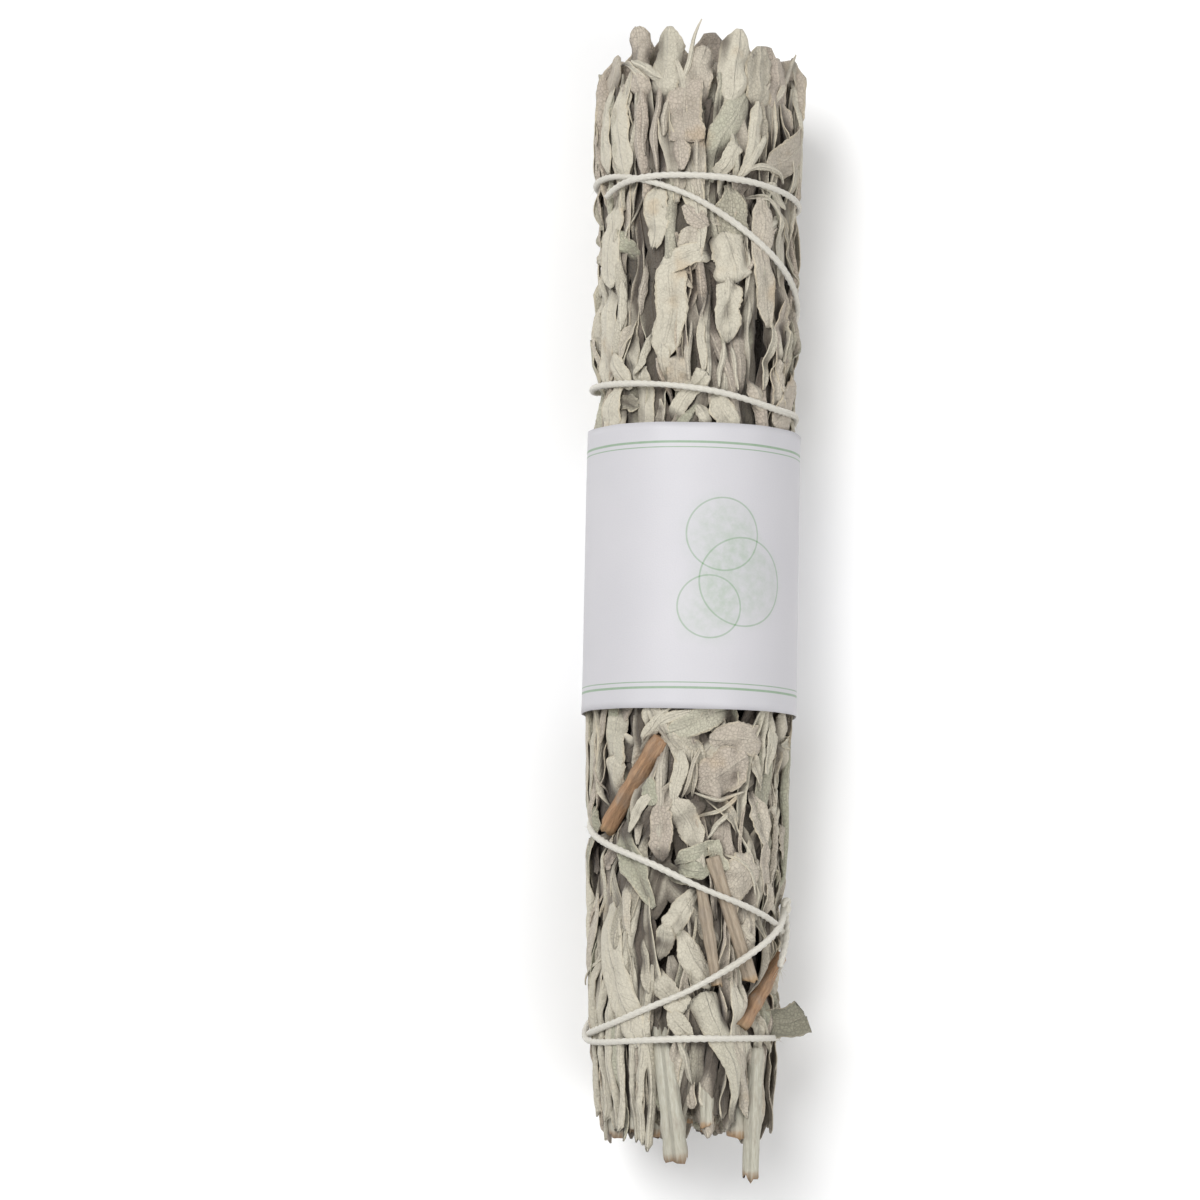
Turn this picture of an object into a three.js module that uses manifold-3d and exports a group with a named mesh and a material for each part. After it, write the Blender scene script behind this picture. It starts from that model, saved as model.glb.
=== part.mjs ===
// A bundle of dried white sage, lying on its side: leafy sprigs packed side by side, wound with one
// cotton string and banded with paper. Millimetres. +Y runs along the bundle from the cut stems to the
// leaf tips, +Z is up, and the paper band's flattened underside rests on z = 0.
import * as THREE from "three";
import { mergeVertices } from "three/addons/utils/BufferGeometryUtils.js";
import Module from "manifold-3d";

const wasm = await Module();
wasm.setup();

// Driving dimensions
const LEAF_RADIUS = 20.2; // outside of the packed leaves, from the bundle's axis
const STEM_END = -101; // along Y, where the packed leaves stop and bare stems stand out
const TIP_END = 95; // along Y, where the packing stops and loose tips stand out
const STEM_REACH = -112.5; // longest cut stem
const RESTING_DROP = 19.6; // from the axis down to the surface the bundle lies on
const STRING_DIAMETER = 1.3;
const BAND_WIDTH = 55; // of the paper band, along Y
const BAND_CENTRE = 3.5; // along Y
const PAPER_THICKNESS = 0.6;
const CLEARANCE = 0.3; // between any two pieces

// How the sprigs share the bundle
const OUTER_SPRIGS = 12;
const INNER_SPRIGS = 5;
const INNER_RADIUS = 9.4; // of the ring of sprigs in the middle
const CORE_SHARE = 0.8; // of the radius is packed solid; the leaves stand out of it
const TWIST = 0.16; // radians that the sprigs turn round the bundle, end to end

const STRING_RADIUS = STRING_DIAMETER / 2;
const STRING_SAG = 0.27; // that the straight lengths between the drawn string's points dip inwards
const STRING_LIFT = CLEARANCE + STRING_SAG + STRING_RADIUS; // of the string's points, off the leaves
const BAND_INSIDE = LEAF_RADIUS + CLEARANCE;
const BAND_OUTSIDE = BAND_INSIDE + PAPER_THICKNESS;
const RADIAN = Math.PI / 180;
const TOP = 90 * RADIAN; // the angle round the bundle that faces straight up

// A repeatable number from 0 to 1 for three whole-number keys.
function draw(a, b, c) {
  let h = Math.imul(a + 1, 0x9e3779b1) ^ Math.imul(b + 1, 0x85ebca6b) ^ Math.imul(c + 1, 0xc2b2ae35);
  h = Math.imul(h ^ (h >>> 15), 0x2c1b3c6d);
  h = Math.imul(h ^ (h >>> 12), 0x297a2d39);
  return ((h ^ (h >>> 15)) >>> 0) / 4294967296;
}

const spread = (share, low, high) => low + share * (high - low);

function smooth(value, from, to) {
  const t = Math.min(1, Math.max(0, (value - from) / (to - from)));
  return t * t * (3 - 2 * t);
}

// The bundle's form

// The leaves' outside radius: fuller at the loose tips, slimmer towards the cut stems.
function outline(y) {
  const flare = 1.4 * smooth(y, 85, 110);
  const waist = 1.1 * smooth(y, -20, -45);
  const tail = 2.6 * smooth(y, -75, -108);
  return LEAF_RADIUS + flare - waist - tail;
}

// 1 under the paper band, 0 away from it.
function banded(y) {
  const edge = BAND_WIDTH / 2 + 1;
  return 1 - smooth(Math.abs(y - BAND_CENTRE), edge, edge + 3);
}

// The leaves' outside radius at one angle: pressed in under the band, to leave the string room there,
// and flattened where the bundle's weight lies on the surface.
const STRING_FLOOR_GAP = 0.2;
function leafLimit(angle, y) {
  const floorGap = spread(banded(y), STRING_FLOOR_GAP, PAPER_THICKNESS + CLEARANCE);
  const drop = RESTING_DROP - floorGap - STRING_RADIUS - STRING_LIFT;
  const down = -Math.sin(angle);
  const pressed = down > 0 ? drop / down : Infinity;
  return Math.min(outline(y) - banded(y) * (STRING_LIFT + STRING_RADIUS), pressed);
}

// How far the sprigs are turned round the bundle at y.
const turn = (y) => TWIST * (y / 200) + 0.05 * Math.sin(y / 31);

function polar(angle, y, radius) {
  return new THREE.Vector3(radius * Math.cos(angle), y, radius * Math.sin(angle));
}

// Solids and geometry

function geometryFrom(points, triangles) {
  const geometry = new THREE.BufferGeometry().setFromPoints(points);
  geometry.setIndex(triangles.flat());
  return geometry;
}

function solidFrom(geometry) {
  const bare = geometry.clone();
  bare.deleteAttribute("normal");
  bare.deleteAttribute("uv");
  const merged = mergeVertices(bare, 1e-4);
  const mesh = new wasm.Mesh({
    numProp: 3,
    vertProperties: merged.attributes.position.array,
    triVerts: new Uint32Array(merged.index.array),
  });
  return new wasm.Manifold(mesh);
}

function geometryOf(solid) {
  const { numProp, vertProperties, triVerts } = solid.getMesh();
  const positions = new THREE.InterleavedBuffer(vertProperties, numProp);
  const geometry = new THREE.BufferGeometry();
  geometry.setAttribute("position", new THREE.InterleavedBufferAttribute(positions, 3, 0));
  geometry.setIndex(new THREE.BufferAttribute(triVerts, 1));
  geometry.computeVertexNormals();
  return geometry;
}

const fused = (geometries) => wasm.Manifold.union(geometries.map(solidFrom));

// The largest of a solid's bodies, so that no loose scrap is left.
function wholeBody(solid) {
  return solid.decompose().reduce((a, b) => (a.volume() > b.volume() ? a : b));
}

// A closed solid through rings of equally many points, each end closed by a fan.
function loft(rings) {
  const count = rings[0].length;
  const middle = (ring) => ring.reduce((sum, p) => sum.add(p), new THREE.Vector3()).divideScalar(count);
  const points = [...rings.flat(), middle(rings[0]), middle(rings.at(-1))];
  const lastRing = (rings.length - 1) * count;
  const [firstCap, lastCap] = [points.length - 2, points.length - 1];
  const triangles = [];
  for (let i = 0; i < count; i++) {
    const next = (i + 1) % count;
    for (let j = 0; j < lastRing; j += count) {
      triangles.push([j + i, j + next, j + next + count], [j + i, j + next + count, j + i + count]);
    }
    triangles.push([firstCap, next, i], [lastCap, lastRing + i, lastRing + next]);
  }
  return geometryFrom(points, triangles);
}

// A round stick between two points, with a slanted cut at its first end.
const STICK_SIDES = 7;
function stick(from, to, radius, slant) {
  const along = to.clone().sub(from).normalize();
  const across = new THREE.Vector3(0, 0, 1).cross(along).normalize();
  const other = along.clone().cross(across);
  const ring = (middle, tilt) =>
    Array.from({ length: STICK_SIDES }, (_, i) => {
      const a = (i / STICK_SIDES) * 2 * Math.PI;
      return middle
        .clone()
        .addScaledVector(across, radius * Math.cos(a))
        .addScaledVector(other, radius * Math.sin(a))
        .addScaledVector(along, tilt * radius * Math.cos(a));
    });
  return loft([ring(from, slant), ring(to, 0)]);
}

// A leaf as a closed solid: a point at its base and its tip, and at each station between them a kite of
// four corners, its left margin, its upper face, its right margin and its lower face.
function kiteLeaf(base, tip, stations) {
  const points = [base, tip, ...stations.flat()];
  const corner = (i, c) => 2 + 4 * i + (c % 4);
  const last = stations.length - 1;
  const triangles = [];
  for (let c = 0; c < 4; c++) {
    triangles.push([0, corner(0, c), corner(0, c + 1)], [1, corner(last, c + 1), corner(last, c)]);
    for (let i = 0; i < last; i++) {
      triangles.push([corner(i, c), corner(i + 1, c), corner(i + 1, c + 1)]);
      triangles.push([corner(i, c), corner(i + 1, c + 1), corner(i, c + 1)]);
    }
  }
  const leaf = geometryFrom(points, triangles);
  return solidFrom(leaf).volume() > 0 ? leaf : geometryFrom(points, triangles.map(([a, b, c]) => [a, c, b]));
}

// Sprigs

// A sprig's share of the bundle: an angle either side of its middle, outside an inner radius.
function sectorOf(index) {
  const outer = index < OUTER_SPRIGS;
  const count = outer ? OUTER_SPRIGS : INNER_SPRIGS;
  const place = outer ? index : index - OUTER_SPRIGS;
  return {
    outer,
    index,
    middle: TOP + ((place + 0.5) / count) * 2 * Math.PI,
    half: Math.PI / count,
    inside: outer ? INNER_RADIUS + CLEARANCE : 0.9,
  };
}

// A point kept inside the sector, clear of its edges.
function inSector(sector, angle, y, radius, inset = 0) {
  const room = sector.half - Math.asin(Math.min(1, (0.6 * CLEARANCE + inset) / radius));
  const middle = sector.middle + turn(y);
  return polar(middle + Math.min(room, Math.max(-room, angle - middle)), y, radius);
}

// The packed stems and inner leaves of one sprig: a wedge that runs the length of the bundle.
const CORE_STATIONS = 6;
const CORE_DEPTH = 1.5; // that the core keeps inside the leaves where they are pressed flat
const CORE_UNEVENNESS = 0.06; // of its radius
function packedCore(sector) {
  const rings = [];
  for (let j = 0; j <= CORE_STATIONS; j++) {
    const y = spread(j / CORE_STATIONS, STEM_END + 4 * draw(sector.index, 0, 1), TIP_END);
    const middle = sector.middle + turn(y);
    const inside = (share) => inSector(sector, middle + share * sector.half, y, sector.inside);
    const outside = (share, key) => {
      const angle = middle + share * sector.half;
      const packed = Math.min(CORE_SHARE * outline(y), leafLimit(angle, y) - CORE_DEPTH);
      const full = sector.outer ? packed : INNER_RADIUS;
      return inSector(sector, angle, y, full * (1 - CORE_UNEVENNESS * draw(sector.index, j, key)));
    };
    rings.push([inside(-1), inside(1), outside(1, 2), outside(0.35, 3), outside(-0.35, 4), outside(-1, 5)]);
  }
  return loft(rings);
}

// Where leaf number n of a sprig lies, and its form. Leaves stand in pairs up the stem, one on each side,
// and most of them point to the tip end of the bundle.
const LEAF_PAIRS = 6;
const PAIR_SPACING = 30.5;
const LOWEST_LEAF = -98;
function leafOf(sector, n) {
  const pick = (key, low, high) => spread(draw(sector.index, n, key), low, high);
  const side = n % 2 ? 1 : -1;
  const length = pick(21, 34, 48);
  const base = LOWEST_LEAF + Math.floor(n / 2) * PAIR_SPACING + pick(22, -4, 8);
  const pointsDown = pick(20, 0, 1) < 0.25;
  return {
    across: side * pick(23, 1.6, 3.4),
    y: pointsDown ? base + 0.8 * length : base,
    heading: (pointsDown ? 180 : 0) * RADIAN + side * pick(24, -4, 9) * RADIAN,
    length,
    half: pick(25, 2.7, 4.2),
    crest: pick(26, 0, 1.5),
    margin: pick(27, 0.4, 2.4),
    wave: pick(28, 0.1, 0.7),
    tip: pick(29, 0.2, 1.4),
    inset: pick(30, 0.05, 0.6),
  };
}

// A leaf that lies along the bundle. Its lower corners make a keel that is sunk in the packed core, up to
// its free tip, and its margins are waved. Depths are measured in from the leaves' outside.
const LEAF_STATIONS = [
  { share: 0.3, width: 0.95, keel: 6 },
  { share: 0.72, width: 0.8, keel: 4.2 },
];
const LEAF_ROOT_DEPTH = 4.6;
function lyingLeaf(sector, leaf) {
  const at = (along, aside, depth) => {
    const y = leaf.y + along * Math.cos(leaf.heading) - aside * Math.sin(leaf.heading);
    const arc = leaf.across + along * Math.sin(leaf.heading) + aside * Math.cos(leaf.heading);
    const angle = sector.middle + turn(y) - arc / LEAF_RADIUS;
    return inSector(sector, angle, y, leafLimit(angle, y) - Math.max(0, depth), leaf.inset);
  };
  const stations = LEAF_STATIONS.map(({ share, width, keel }, i) => {
    const along = share * leaf.length;
    const half = width * leaf.half;
    const wave = leaf.wave * (i % 2 ? 1 : -1);
    return [
      at(along, -half, leaf.margin + wave),
      at(along, 0, leaf.crest),
      at(along, half, leaf.margin - wave),
      at(along, 0, keel),
    ];
  });
  return kiteLeaf(at(0, 0, LEAF_ROOT_DEPTH), at(leaf.length, 0, leaf.tip), stations);
}

// A loose blade that stands out past the leafy end of the bundle, its root sunk in the core.
const BLADE_THICKNESS = 0.9;
const BLADE_ROOT = TIP_END - 12;
const BLADE_STATIONS = [
  { share: 0.35, width: 0.85, bend: 0.5 },
  { share: 0.65, width: 1, bend: 1 },
  { share: 0.87, width: 0.7, bend: 0.5 },
];
function looseTip(sector, { angle, radius, reach, half, flare, cup, inset }) {
  const at = (share, aside, out) => {
    const y = spread(share, BLADE_ROOT, reach);
    const distance = radius + flare * share * share + out;
    return inSector(sector, angle + turn(BLADE_ROOT) + aside / radius, y, distance, inset);
  };
  const stations = BLADE_STATIONS.map(({ share, width, bend }) => [
    at(share, -width * half, cup * bend),
    at(share, 0, BLADE_THICKNESS / 2),
    at(share, width * half, cup * bend),
    at(share, 0, -BLADE_THICKNESS / 2),
  ]);
  return kiteLeaf(at(0, 0, 0), at(1, 0, 0), stations);
}

// The loose tips of a sprig, side by side at different radii and heights.
const TIPS_PER_SPRIG = 3;
function looseTipsOf(sector) {
  return Array.from({ length: TIPS_PER_SPRIG }, (_, n) => {
    const pick = (key, low, high) => spread(draw(sector.index, n, key), low, high);
    const share = (n + 0.5) / TIPS_PER_SPRIG - 0.5 + pick(41, -0.08, 0.08);
    return {
      angle: sector.middle + 1.4 * share * sector.half,
      radius: sector.outer ? pick(42, 11.5, 16) : pick(42, 3.5, 7.5),
      reach: pick(43, 99, 108),
      half: sector.outer ? pick(44, 1.8, 2.9) : pick(44, 1.4, 2.4),
      flare: sector.outer ? pick(45, 0.5, 2.6) : pick(45, -0.5, 0.8),
      cup: pick(46, -1.1, 1.1),
      inset: pick(47, 0.05, 0.4),
    };
  });
}

// The tallest tips, which set the bundle's length: the sprig each grows on, its degrees aside of that
// sprig's middle, and how far along Y it reaches.
const TALLEST_TIPS = [
  { sprig: 1, aside: -5, radius: 13.5, reach: 110.8, half: 2.6, flare: 5, cup: -0.8 },
  { sprig: 0, aside: 3, radius: 12.5, reach: 111.4, half: 2.4, flare: 3.5, cup: 0.9 },
  { sprig: 0, aside: -9, radius: 14, reach: 112.5, half: 1.2, flare: 5, cup: 0.3 },
  { sprig: 11, aside: -6, radius: 13.5, reach: 111.2, half: 2.8, flare: 5, cup: -0.9 },
  { sprig: 9, aside: 3, radius: 13.5, reach: 105.6, half: 2.4, flare: 7, cup: -0.8 },
];
function tallestTipsOf(sector) {
  return TALLEST_TIPS.filter(({ sprig }) => sprig === sector.index).map((tip) => ({
    ...tip,
    angle: sector.middle + tip.aside * RADIAN,
    inset: 0.2,
  }));
}

// The woody stem of a sprig, cut off past the packed leaves. One stem sets the bundle's length.
const LONGEST_STEM = 10;
const STEM_SUNK = 18; // length of the stem inside the packed leaves
function stemOf(sector) {
  const pick = (key, low, high) => spread(draw(sector.index, 0, key), low, high);
  const angle = sector.middle + turn(STEM_END);
  const fromAxis = sector.outer ? 13.2 : 5.2;
  const cut = sector.index === LONGEST_STEM ? STEM_REACH : pick(51, -110.5, -104.5);
  const root = STEM_END + STEM_SUNK;
  const [from, to] = [polar(angle, cut, fromAxis), polar(angle, root, fromAxis)];
  return stick(from, to, pick(52, 1.6, 2.3), pick(53, -0.5, 0.5));
}

// One broad leaf has slipped out at the right-hand side, lying level, near the lowest turn of the string.
const SLIPPED_LEAF = { sprig: 9, root: [10, -84], tip: [23.6, -81.7], half: 3.7, height: 4.5 };
function slippedLeaf() {
  const { root, tip, half, height } = SLIPPED_LEAF;
  const [from, to] = [new THREE.Vector2(...root), new THREE.Vector2(...tip)];
  const aside = to.clone().sub(from).normalize().rotateAround(new THREE.Vector2(), -TOP);
  const at = (share, left, up) => {
    const spot = from.clone().lerp(to, share).addScaledVector(aside, left);
    return new THREE.Vector3(spot.x, spot.y, height + up);
  };
  const stations = [0.3, 0.6, 0.88].map((share, i) => {
    const width = [0.7, 1, 0.6][i] * half;
    return [at(share, -width, 0.3), at(share, 0, 0.5), at(share, width, -0.2), at(share, 0, -0.5)];
  });
  return kiteLeaf(at(0, 0, 0), at(1, 0, 0), stations);
}

// Everything of one sprig, fused.
function sprigSolid(index) {
  const sector = sectorOf(index);
  const tips = [...looseTipsOf(sector), ...tallestTipsOf(sector)];
  const pieces = [packedCore(sector), stemOf(sector), ...tips.map((tip) => looseTip(sector, tip))];
  for (let n = 0; sector.outer && n < 2 * LEAF_PAIRS; n++) {
    pieces.push(lyingLeaf(sector, leafOf(sector, n)));
  }
  if (index === SLIPPED_LEAF.sprig) {
    pieces.push(slippedLeaf());
  }
  return fused(pieces);
}

// Woody twigs

// Side twigs that have lost their leaves and lie bare on the upper side: across and along the bundle at
// their cut end and their other end, and their radius.
const TWIGS = [
  { cut: [-15.4, -46.3], end: [-5.5, -29.5], radius: 2 },
  { cut: [5.8, -76.5], end: [2.5, -58], radius: 1.1 },
  { cut: [12.2, -75], end: [4.5, -52], radius: 1.5 },
  { cut: [9.5, -86], end: [18.2, -70.5], radius: 1.6 },
];
function twig({ cut, end, radius }, extra) {
  const onTop = ([x, y]) => {
    const out = outline(y) - radius;
    return new THREE.Vector3(x, y, Math.sqrt(Math.max(0, out * out - x * x)));
  };
  return stick(onTop(cut), onTop(end), radius + extra, 0.35);
}

// The string

// The string's way round the bundle, from its knot to its tucked end: degrees turned since the right-hand
// side, millimetres along the bundle, and how far it is lifted to pass over an earlier turn.
const STRING_ROUTE = [
  [4, -61, 0],
  [30, -66, 1.7],
  [59, -72, 0],
  [92, -78.2, 0],
  [135, -83.7, 0],
  [165, -85.8, 0],
  [215, -86.4, 0],
  [270, -86.5, 0],
  [360, -86, 0],
  [450, -86.5, 0],
  [510, -87.6, 0.4],
  [530, -87.4, 1.6],
  [545, -85.8, 1.7],
  [560, -83.2, 1],
  [580, -80.8, 0],
  [640, -75, 0],
  [720, -67, 0],
  [801, -58.4, 0],
  [833, -53.3, 0],
  [890, -46.9, 0],
  [990, -33, 0],
  [1080, -14, 0],
  [1170, 0, 0],
  [1260, 14, 0],
  [1350, 25, 0],
  [1440, 35, 0],
  [1480, 34.6, 0],
  [1522, 37.3, 0],
  [1555, 38.6, 0],
  [1590, 39.5, 0],
  [1640, 40.2, 0],
  [1710, 47, 0],
  [1800, 55.8, 0],
  [1863, 68.6, 0],
  [1894, 75.1, 0],
  [1924, 79, 0],
  [1950, 80.7, 0],
  [2000, 80.5, 0],
  [2070, 77.5, 0],
  [2160, 76.6, 0],
  [2223, 78.6, 0],
  [2250, 79, 0.6],
  [2275, 79.1, 1.7],
  [2290, 78.9, 1.7],
  [2304, 77.8, 0.8],
  [2314, 76.8, 0],
];
const TAIL_ROUTE = [
  [3, -60, 0],
  [6, -63, 0.6],
  [8, -66, 1.7],
  [9, -69, 0.8],
  [10, -72.5, 0.1],
];
const KNOT_RADIUS = 1.5;
const STRING_STEP = 18; // degrees between the points of the drawn string
const STRING_SIDES = 5;

function onBundle(degrees, y, lift) {
  const angle = degrees * RADIAN;
  return polar(angle, y, leafLimit(angle, y) + STRING_LIFT + lift);
}

// Points along the main route at even angles, between the listed ones.
function stringPoints() {
  const [start, end] = [STRING_ROUTE[0][0], STRING_ROUTE.at(-1)[0]];
  const count = Math.round((end - start) / STRING_STEP);
  return Array.from({ length: count + 1 }, (_, i) => {
    const degrees = spread(i / count, start, end);
    const after = STRING_ROUTE.findIndex((stop) => stop[0] >= degrees);
    const [from, to] = [STRING_ROUTE[Math.max(0, after - 1)], STRING_ROUTE[after]];
    const share = from === to ? 0 : (degrees - from[0]) / (to[0] - from[0]);
    return onBundle(degrees, spread(share, from[1], to[1]), spread(share, from[2], to[2]));
  });
}

function tubeAlong(points, radius) {
  const corners = Array.from({ length: STRING_SIDES }, (_, i) => {
    const a = (i / STRING_SIDES) * 2 * Math.PI;
    return new THREE.Vector2(radius * Math.cos(a), radius * Math.sin(a));
  });
  const extrudePath = new THREE.CatmullRomCurve3(points);
  return new THREE.ExtrudeGeometry(new THREE.Shape(corners), { steps: points.length - 1, extrudePath });
}

// The wound string, its knot and the short tail that hangs from it, all grown fatter by extra.
function stringSolid(extra) {
  const knot = new THREE.IcosahedronGeometry(KNOT_RADIUS + extra, 1);
  knot.translate(...onBundle(3, -60.4, 0.4).toArray());
  const tail = TAIL_ROUTE.map((stop) => onBundle(...stop));
  const radius = STRING_RADIUS + extra;
  return fused([tubeAlong(stringPoints(), radius), tubeAlong(tail, radius), knot]);
}

// The paper band

// The band's outline seen along the bundle: an arc all round, flattened where it rests on the surface. The
// strip's outer end is lapped over its start, low on the left-hand side.
const BAND_SIDES = 64;
const LAP = { from: 196 * RADIAN, to: 222 * RADIAN };
function bandOutline(radius, drop, lapThickness) {
  const flat = Math.acos(drop / radius);
  const [right, left] = [-TOP + flat, -TOP - flat + 2 * Math.PI];
  return Array.from({ length: BAND_SIDES + 1 }, (_, i) => {
    const angle = spread(i / BAND_SIDES, right, left);
    const lapped = angle > LAP.from && angle < LAP.to ? lapThickness : 0;
    return new THREE.Vector2((radius + lapped) * Math.cos(angle), (radius + lapped) * Math.sin(angle));
  });
}

function paperBand() {
  const section = new THREE.Shape(bandOutline(BAND_OUTSIDE, RESTING_DROP, PAPER_THICKNESS));
  section.holes.push(new THREE.Path(bandOutline(BAND_INSIDE, RESTING_DROP - PAPER_THICKNESS, 0)));
  const band = new THREE.ExtrudeGeometry(section, { depth: BAND_WIDTH, bevelEnabled: false });
  band.rotateX(TOP);
  band.translate(0, BAND_CENTRE + BAND_WIDTH / 2, 0);
  return band;
}

// The bundle

const SAGE_LEAF = new THREE.MeshStandardMaterial({ color: 0xb4b1a0, roughness: 0.9, metalness: 0 });
const TWIG_WOOD = new THREE.MeshStandardMaterial({ color: 0xa5805d, roughness: 0.85, metalness: 0 });
const COTTON = new THREE.MeshStandardMaterial({ color: 0xded8c8, roughness: 0.95, metalness: 0 });
const PAPER = new THREE.MeshStandardMaterial({ color: 0xe0dee2, roughness: 0.6, metalness: 0 });

const bundle = new THREE.Group();

function addPiece(name, geometry, material) {
  const piece = new THREE.Mesh(geometry, material);
  piece.name = name;
  bundle.add(piece);
}

// What lies in grooves of the packed leaves, grown by the clearance that it keeps to them.
const grooves = TWIGS.map((row) => solidFrom(twig(row, CLEARANCE)));
grooves.push(stringSolid(CLEARANCE));
const pressedIn = wasm.Manifold.union(grooves);

for (let index = 0; index < OUTER_SPRIGS + INNER_SPRIGS; index++) {
  const number = String(index + 1).padStart(2, "0");
  const solid = wholeBody(sprigSolid(index).subtract(pressedIn));
  addPiece(`sage_sprig_${number}`, geometryOf(solid), SAGE_LEAF);
}
TWIGS.forEach((row, i) => addPiece(`bare_twig_${i + 1}`, twig(row, 0), TWIG_WOOD));
addPiece("cotton_string", geometryOf(stringSolid(0)), COTTON);
addPiece("paper_band", paperBand(), PAPER);

// The origin is on the surface, under the middle of the whole bundle.
const box = new THREE.Box3().setFromObject(bundle);
const middle = box.getCenter(new THREE.Vector3());
bundle.position.set(-middle.x, -middle.y, RESTING_DROP);

export default bundle;
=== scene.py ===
"""A bundle of dried white sage lying on its side: leafy sprigs wound with cotton string and banded with paper."""

import bpy
import numpy as np
from mathutils import Matrix, Vector


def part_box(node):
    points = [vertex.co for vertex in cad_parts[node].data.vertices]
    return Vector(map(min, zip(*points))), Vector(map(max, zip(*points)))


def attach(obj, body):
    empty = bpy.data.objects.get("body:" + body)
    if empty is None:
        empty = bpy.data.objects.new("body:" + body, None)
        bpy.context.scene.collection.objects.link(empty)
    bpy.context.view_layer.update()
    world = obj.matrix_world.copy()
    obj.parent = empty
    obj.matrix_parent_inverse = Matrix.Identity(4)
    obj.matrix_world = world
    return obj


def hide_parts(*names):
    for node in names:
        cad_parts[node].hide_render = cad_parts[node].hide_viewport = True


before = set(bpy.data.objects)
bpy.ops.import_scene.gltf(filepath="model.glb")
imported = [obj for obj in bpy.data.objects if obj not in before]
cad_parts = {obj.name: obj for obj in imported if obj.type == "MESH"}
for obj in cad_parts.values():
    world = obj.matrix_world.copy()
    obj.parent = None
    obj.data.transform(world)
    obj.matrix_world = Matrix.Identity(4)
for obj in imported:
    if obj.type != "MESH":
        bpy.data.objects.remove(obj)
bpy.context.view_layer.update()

# The bundle's form. Cut sprigs are laid side by side, tips to one end, and pressed into a round bundle that
# is a little fuller at its loose tips and slimmer at its cut stems, and flat where it lies on the surface.
# All sizes are millimetres from the bundle's axis: +Y to the tips, +Z up, angles from +X towards +Z.
LEAF_RADIUS = 20.2
RESTING_DROP = 19.6
BAND_WIDTH, BAND_CENTRE = 55.0, 3.5
TURN = 2 * np.pi
band_low, band_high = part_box("paper_band")
AXIS = np.array(
    [
        (band_low.x + band_high.x) / 2,
        (band_low.y + band_high.y) / 2 - BAND_CENTRE / 1000,
        band_low.z + RESTING_DROP / 1000,
    ]
)


def draw(a, b, c):
    """A repeatable number from 0 to 1 for three whole-number keys, by mixing their bits."""
    keep = 0xFFFFFFFF
    h = ((a + 1) * 0x9E3779B1 ^ (b + 1) * 0x85EBCA6B ^ (c + 1) * 0xC2B2AE35) & keep
    h = ((h ^ h >> 15) * 0x2C1B3C6D) & keep
    h = ((h ^ h >> 12) * 0x297A2D39) & keep
    return (h ^ h >> 15) / 4294967296


def smooth(value, start, end):
    """0 before start, 1 after end, and an S-curve between them."""
    t = np.clip((value - start) / (end - start), 0, 1)
    return t * t * (3 - 2 * t)


def outline(y):
    """The bundle's radius along it: flared at the tips, waisted below the band, tapered to the stems."""
    return LEAF_RADIUS + 1.4 * smooth(y, 85, 110) - 1.1 * smooth(y, -20, -45) - 2.6 * smooth(y, -75, -108)


def banded(y):
    """1 under the paper band and 0 away from it."""
    edge = BAND_WIDTH / 2 + 1
    return 1 - smooth(np.abs(y - BAND_CENTRE), edge, edge + 3)


def turned(y):
    """How far the sprigs are turned round the bundle at y, in radians."""
    return 0.16 * y / 200 + 0.05 * np.sin(y / 31)


def on_floor(angle, drop):
    """The radius at which a ray from the axis meets a level plane, drop below the axis."""
    return drop / np.maximum(-np.sin(angle), 1e-3)


def polar(angle, y, radius):
    """Points round the axis, in millimetres from it."""
    return np.stack(np.broadcast_arrays(radius * np.cos(angle), y, radius * np.sin(angle)), axis=-1)


# The string's way round the bundle, which presses the leaves in: one cotton string of 1.3 mm, from the knot
# at the right-hand side to the end tucked under it near the tips. Each row: degrees turned since the
# right-hand side, millimetres along the bundle, and the lift that takes it over an earlier turn.
STRING_RADIUS = 0.65
STRING_ROUTE = np.array(
    [
        [4, -61, 0],
        [30, -66, 1.0],
        [59, -72, 0],
        [92, -78.2, 0],
        [135, -83.7, 0],
        [165, -85.8, 0],
        [215, -86.4, 0],
        [270, -86.5, 0],
        [360, -86, 0],
        [450, -86.5, 0],
        [510, -87.6, 0.2],
        [530, -87.4, 1.0],
        [545, -85.8, 1.0],
        [560, -83.2, 0.6],
        [580, -80.8, 0],
        [640, -75, 0],
        [720, -67, 0],
        [801, -58.4, 0],
        [833, -53.3, 0],
        [890, -46.9, 0],
        [990, -33, 0],
        [1080, -14, 0],
        [1170, 0, 0],
        [1260, 14, 0],
        [1350, 25, 0],
        [1440, 35, 0],
        [1480, 34.6, 0],
        [1522, 37.3, 0],
        [1555, 38.6, 0],
        [1590, 39.5, 0],
        [1640, 40.2, 0],
        [1710, 47, 0],
        [1800, 55.8, 0],
        [1863, 68.6, 0],
        [1894, 75.1, 0],
        [1924, 79, 0],
        [1950, 80.7, 0],
        [2000, 80.5, 0],
        [2070, 77.5, 0],
        [2160, 76.6, 0],
        [2223, 78.6, 0],
        [2250, 79, 0.4],
        [2275, 79.1, 1.0],
        [2290, 78.9, 1.0],
        [2304, 77.8, 0.5],
        [2314, 76.8, 0],
    ]
)
STRING_SINK = 1.15  # that the taut string is pressed into the leaves


def softened(values, reach):
    """The mean of each value and its neighbours, weighted by a bell curve that is reach points wide."""
    offsets = np.arange(-3 * reach, 3 * reach + 1)
    bell = np.exp(-0.5 * (offsets / reach) ** 2)
    padded = np.pad(values, 3 * reach, mode="reflect", reflect_type="odd")
    return np.convolve(padded, bell / bell.sum(), mode="valid")


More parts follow.
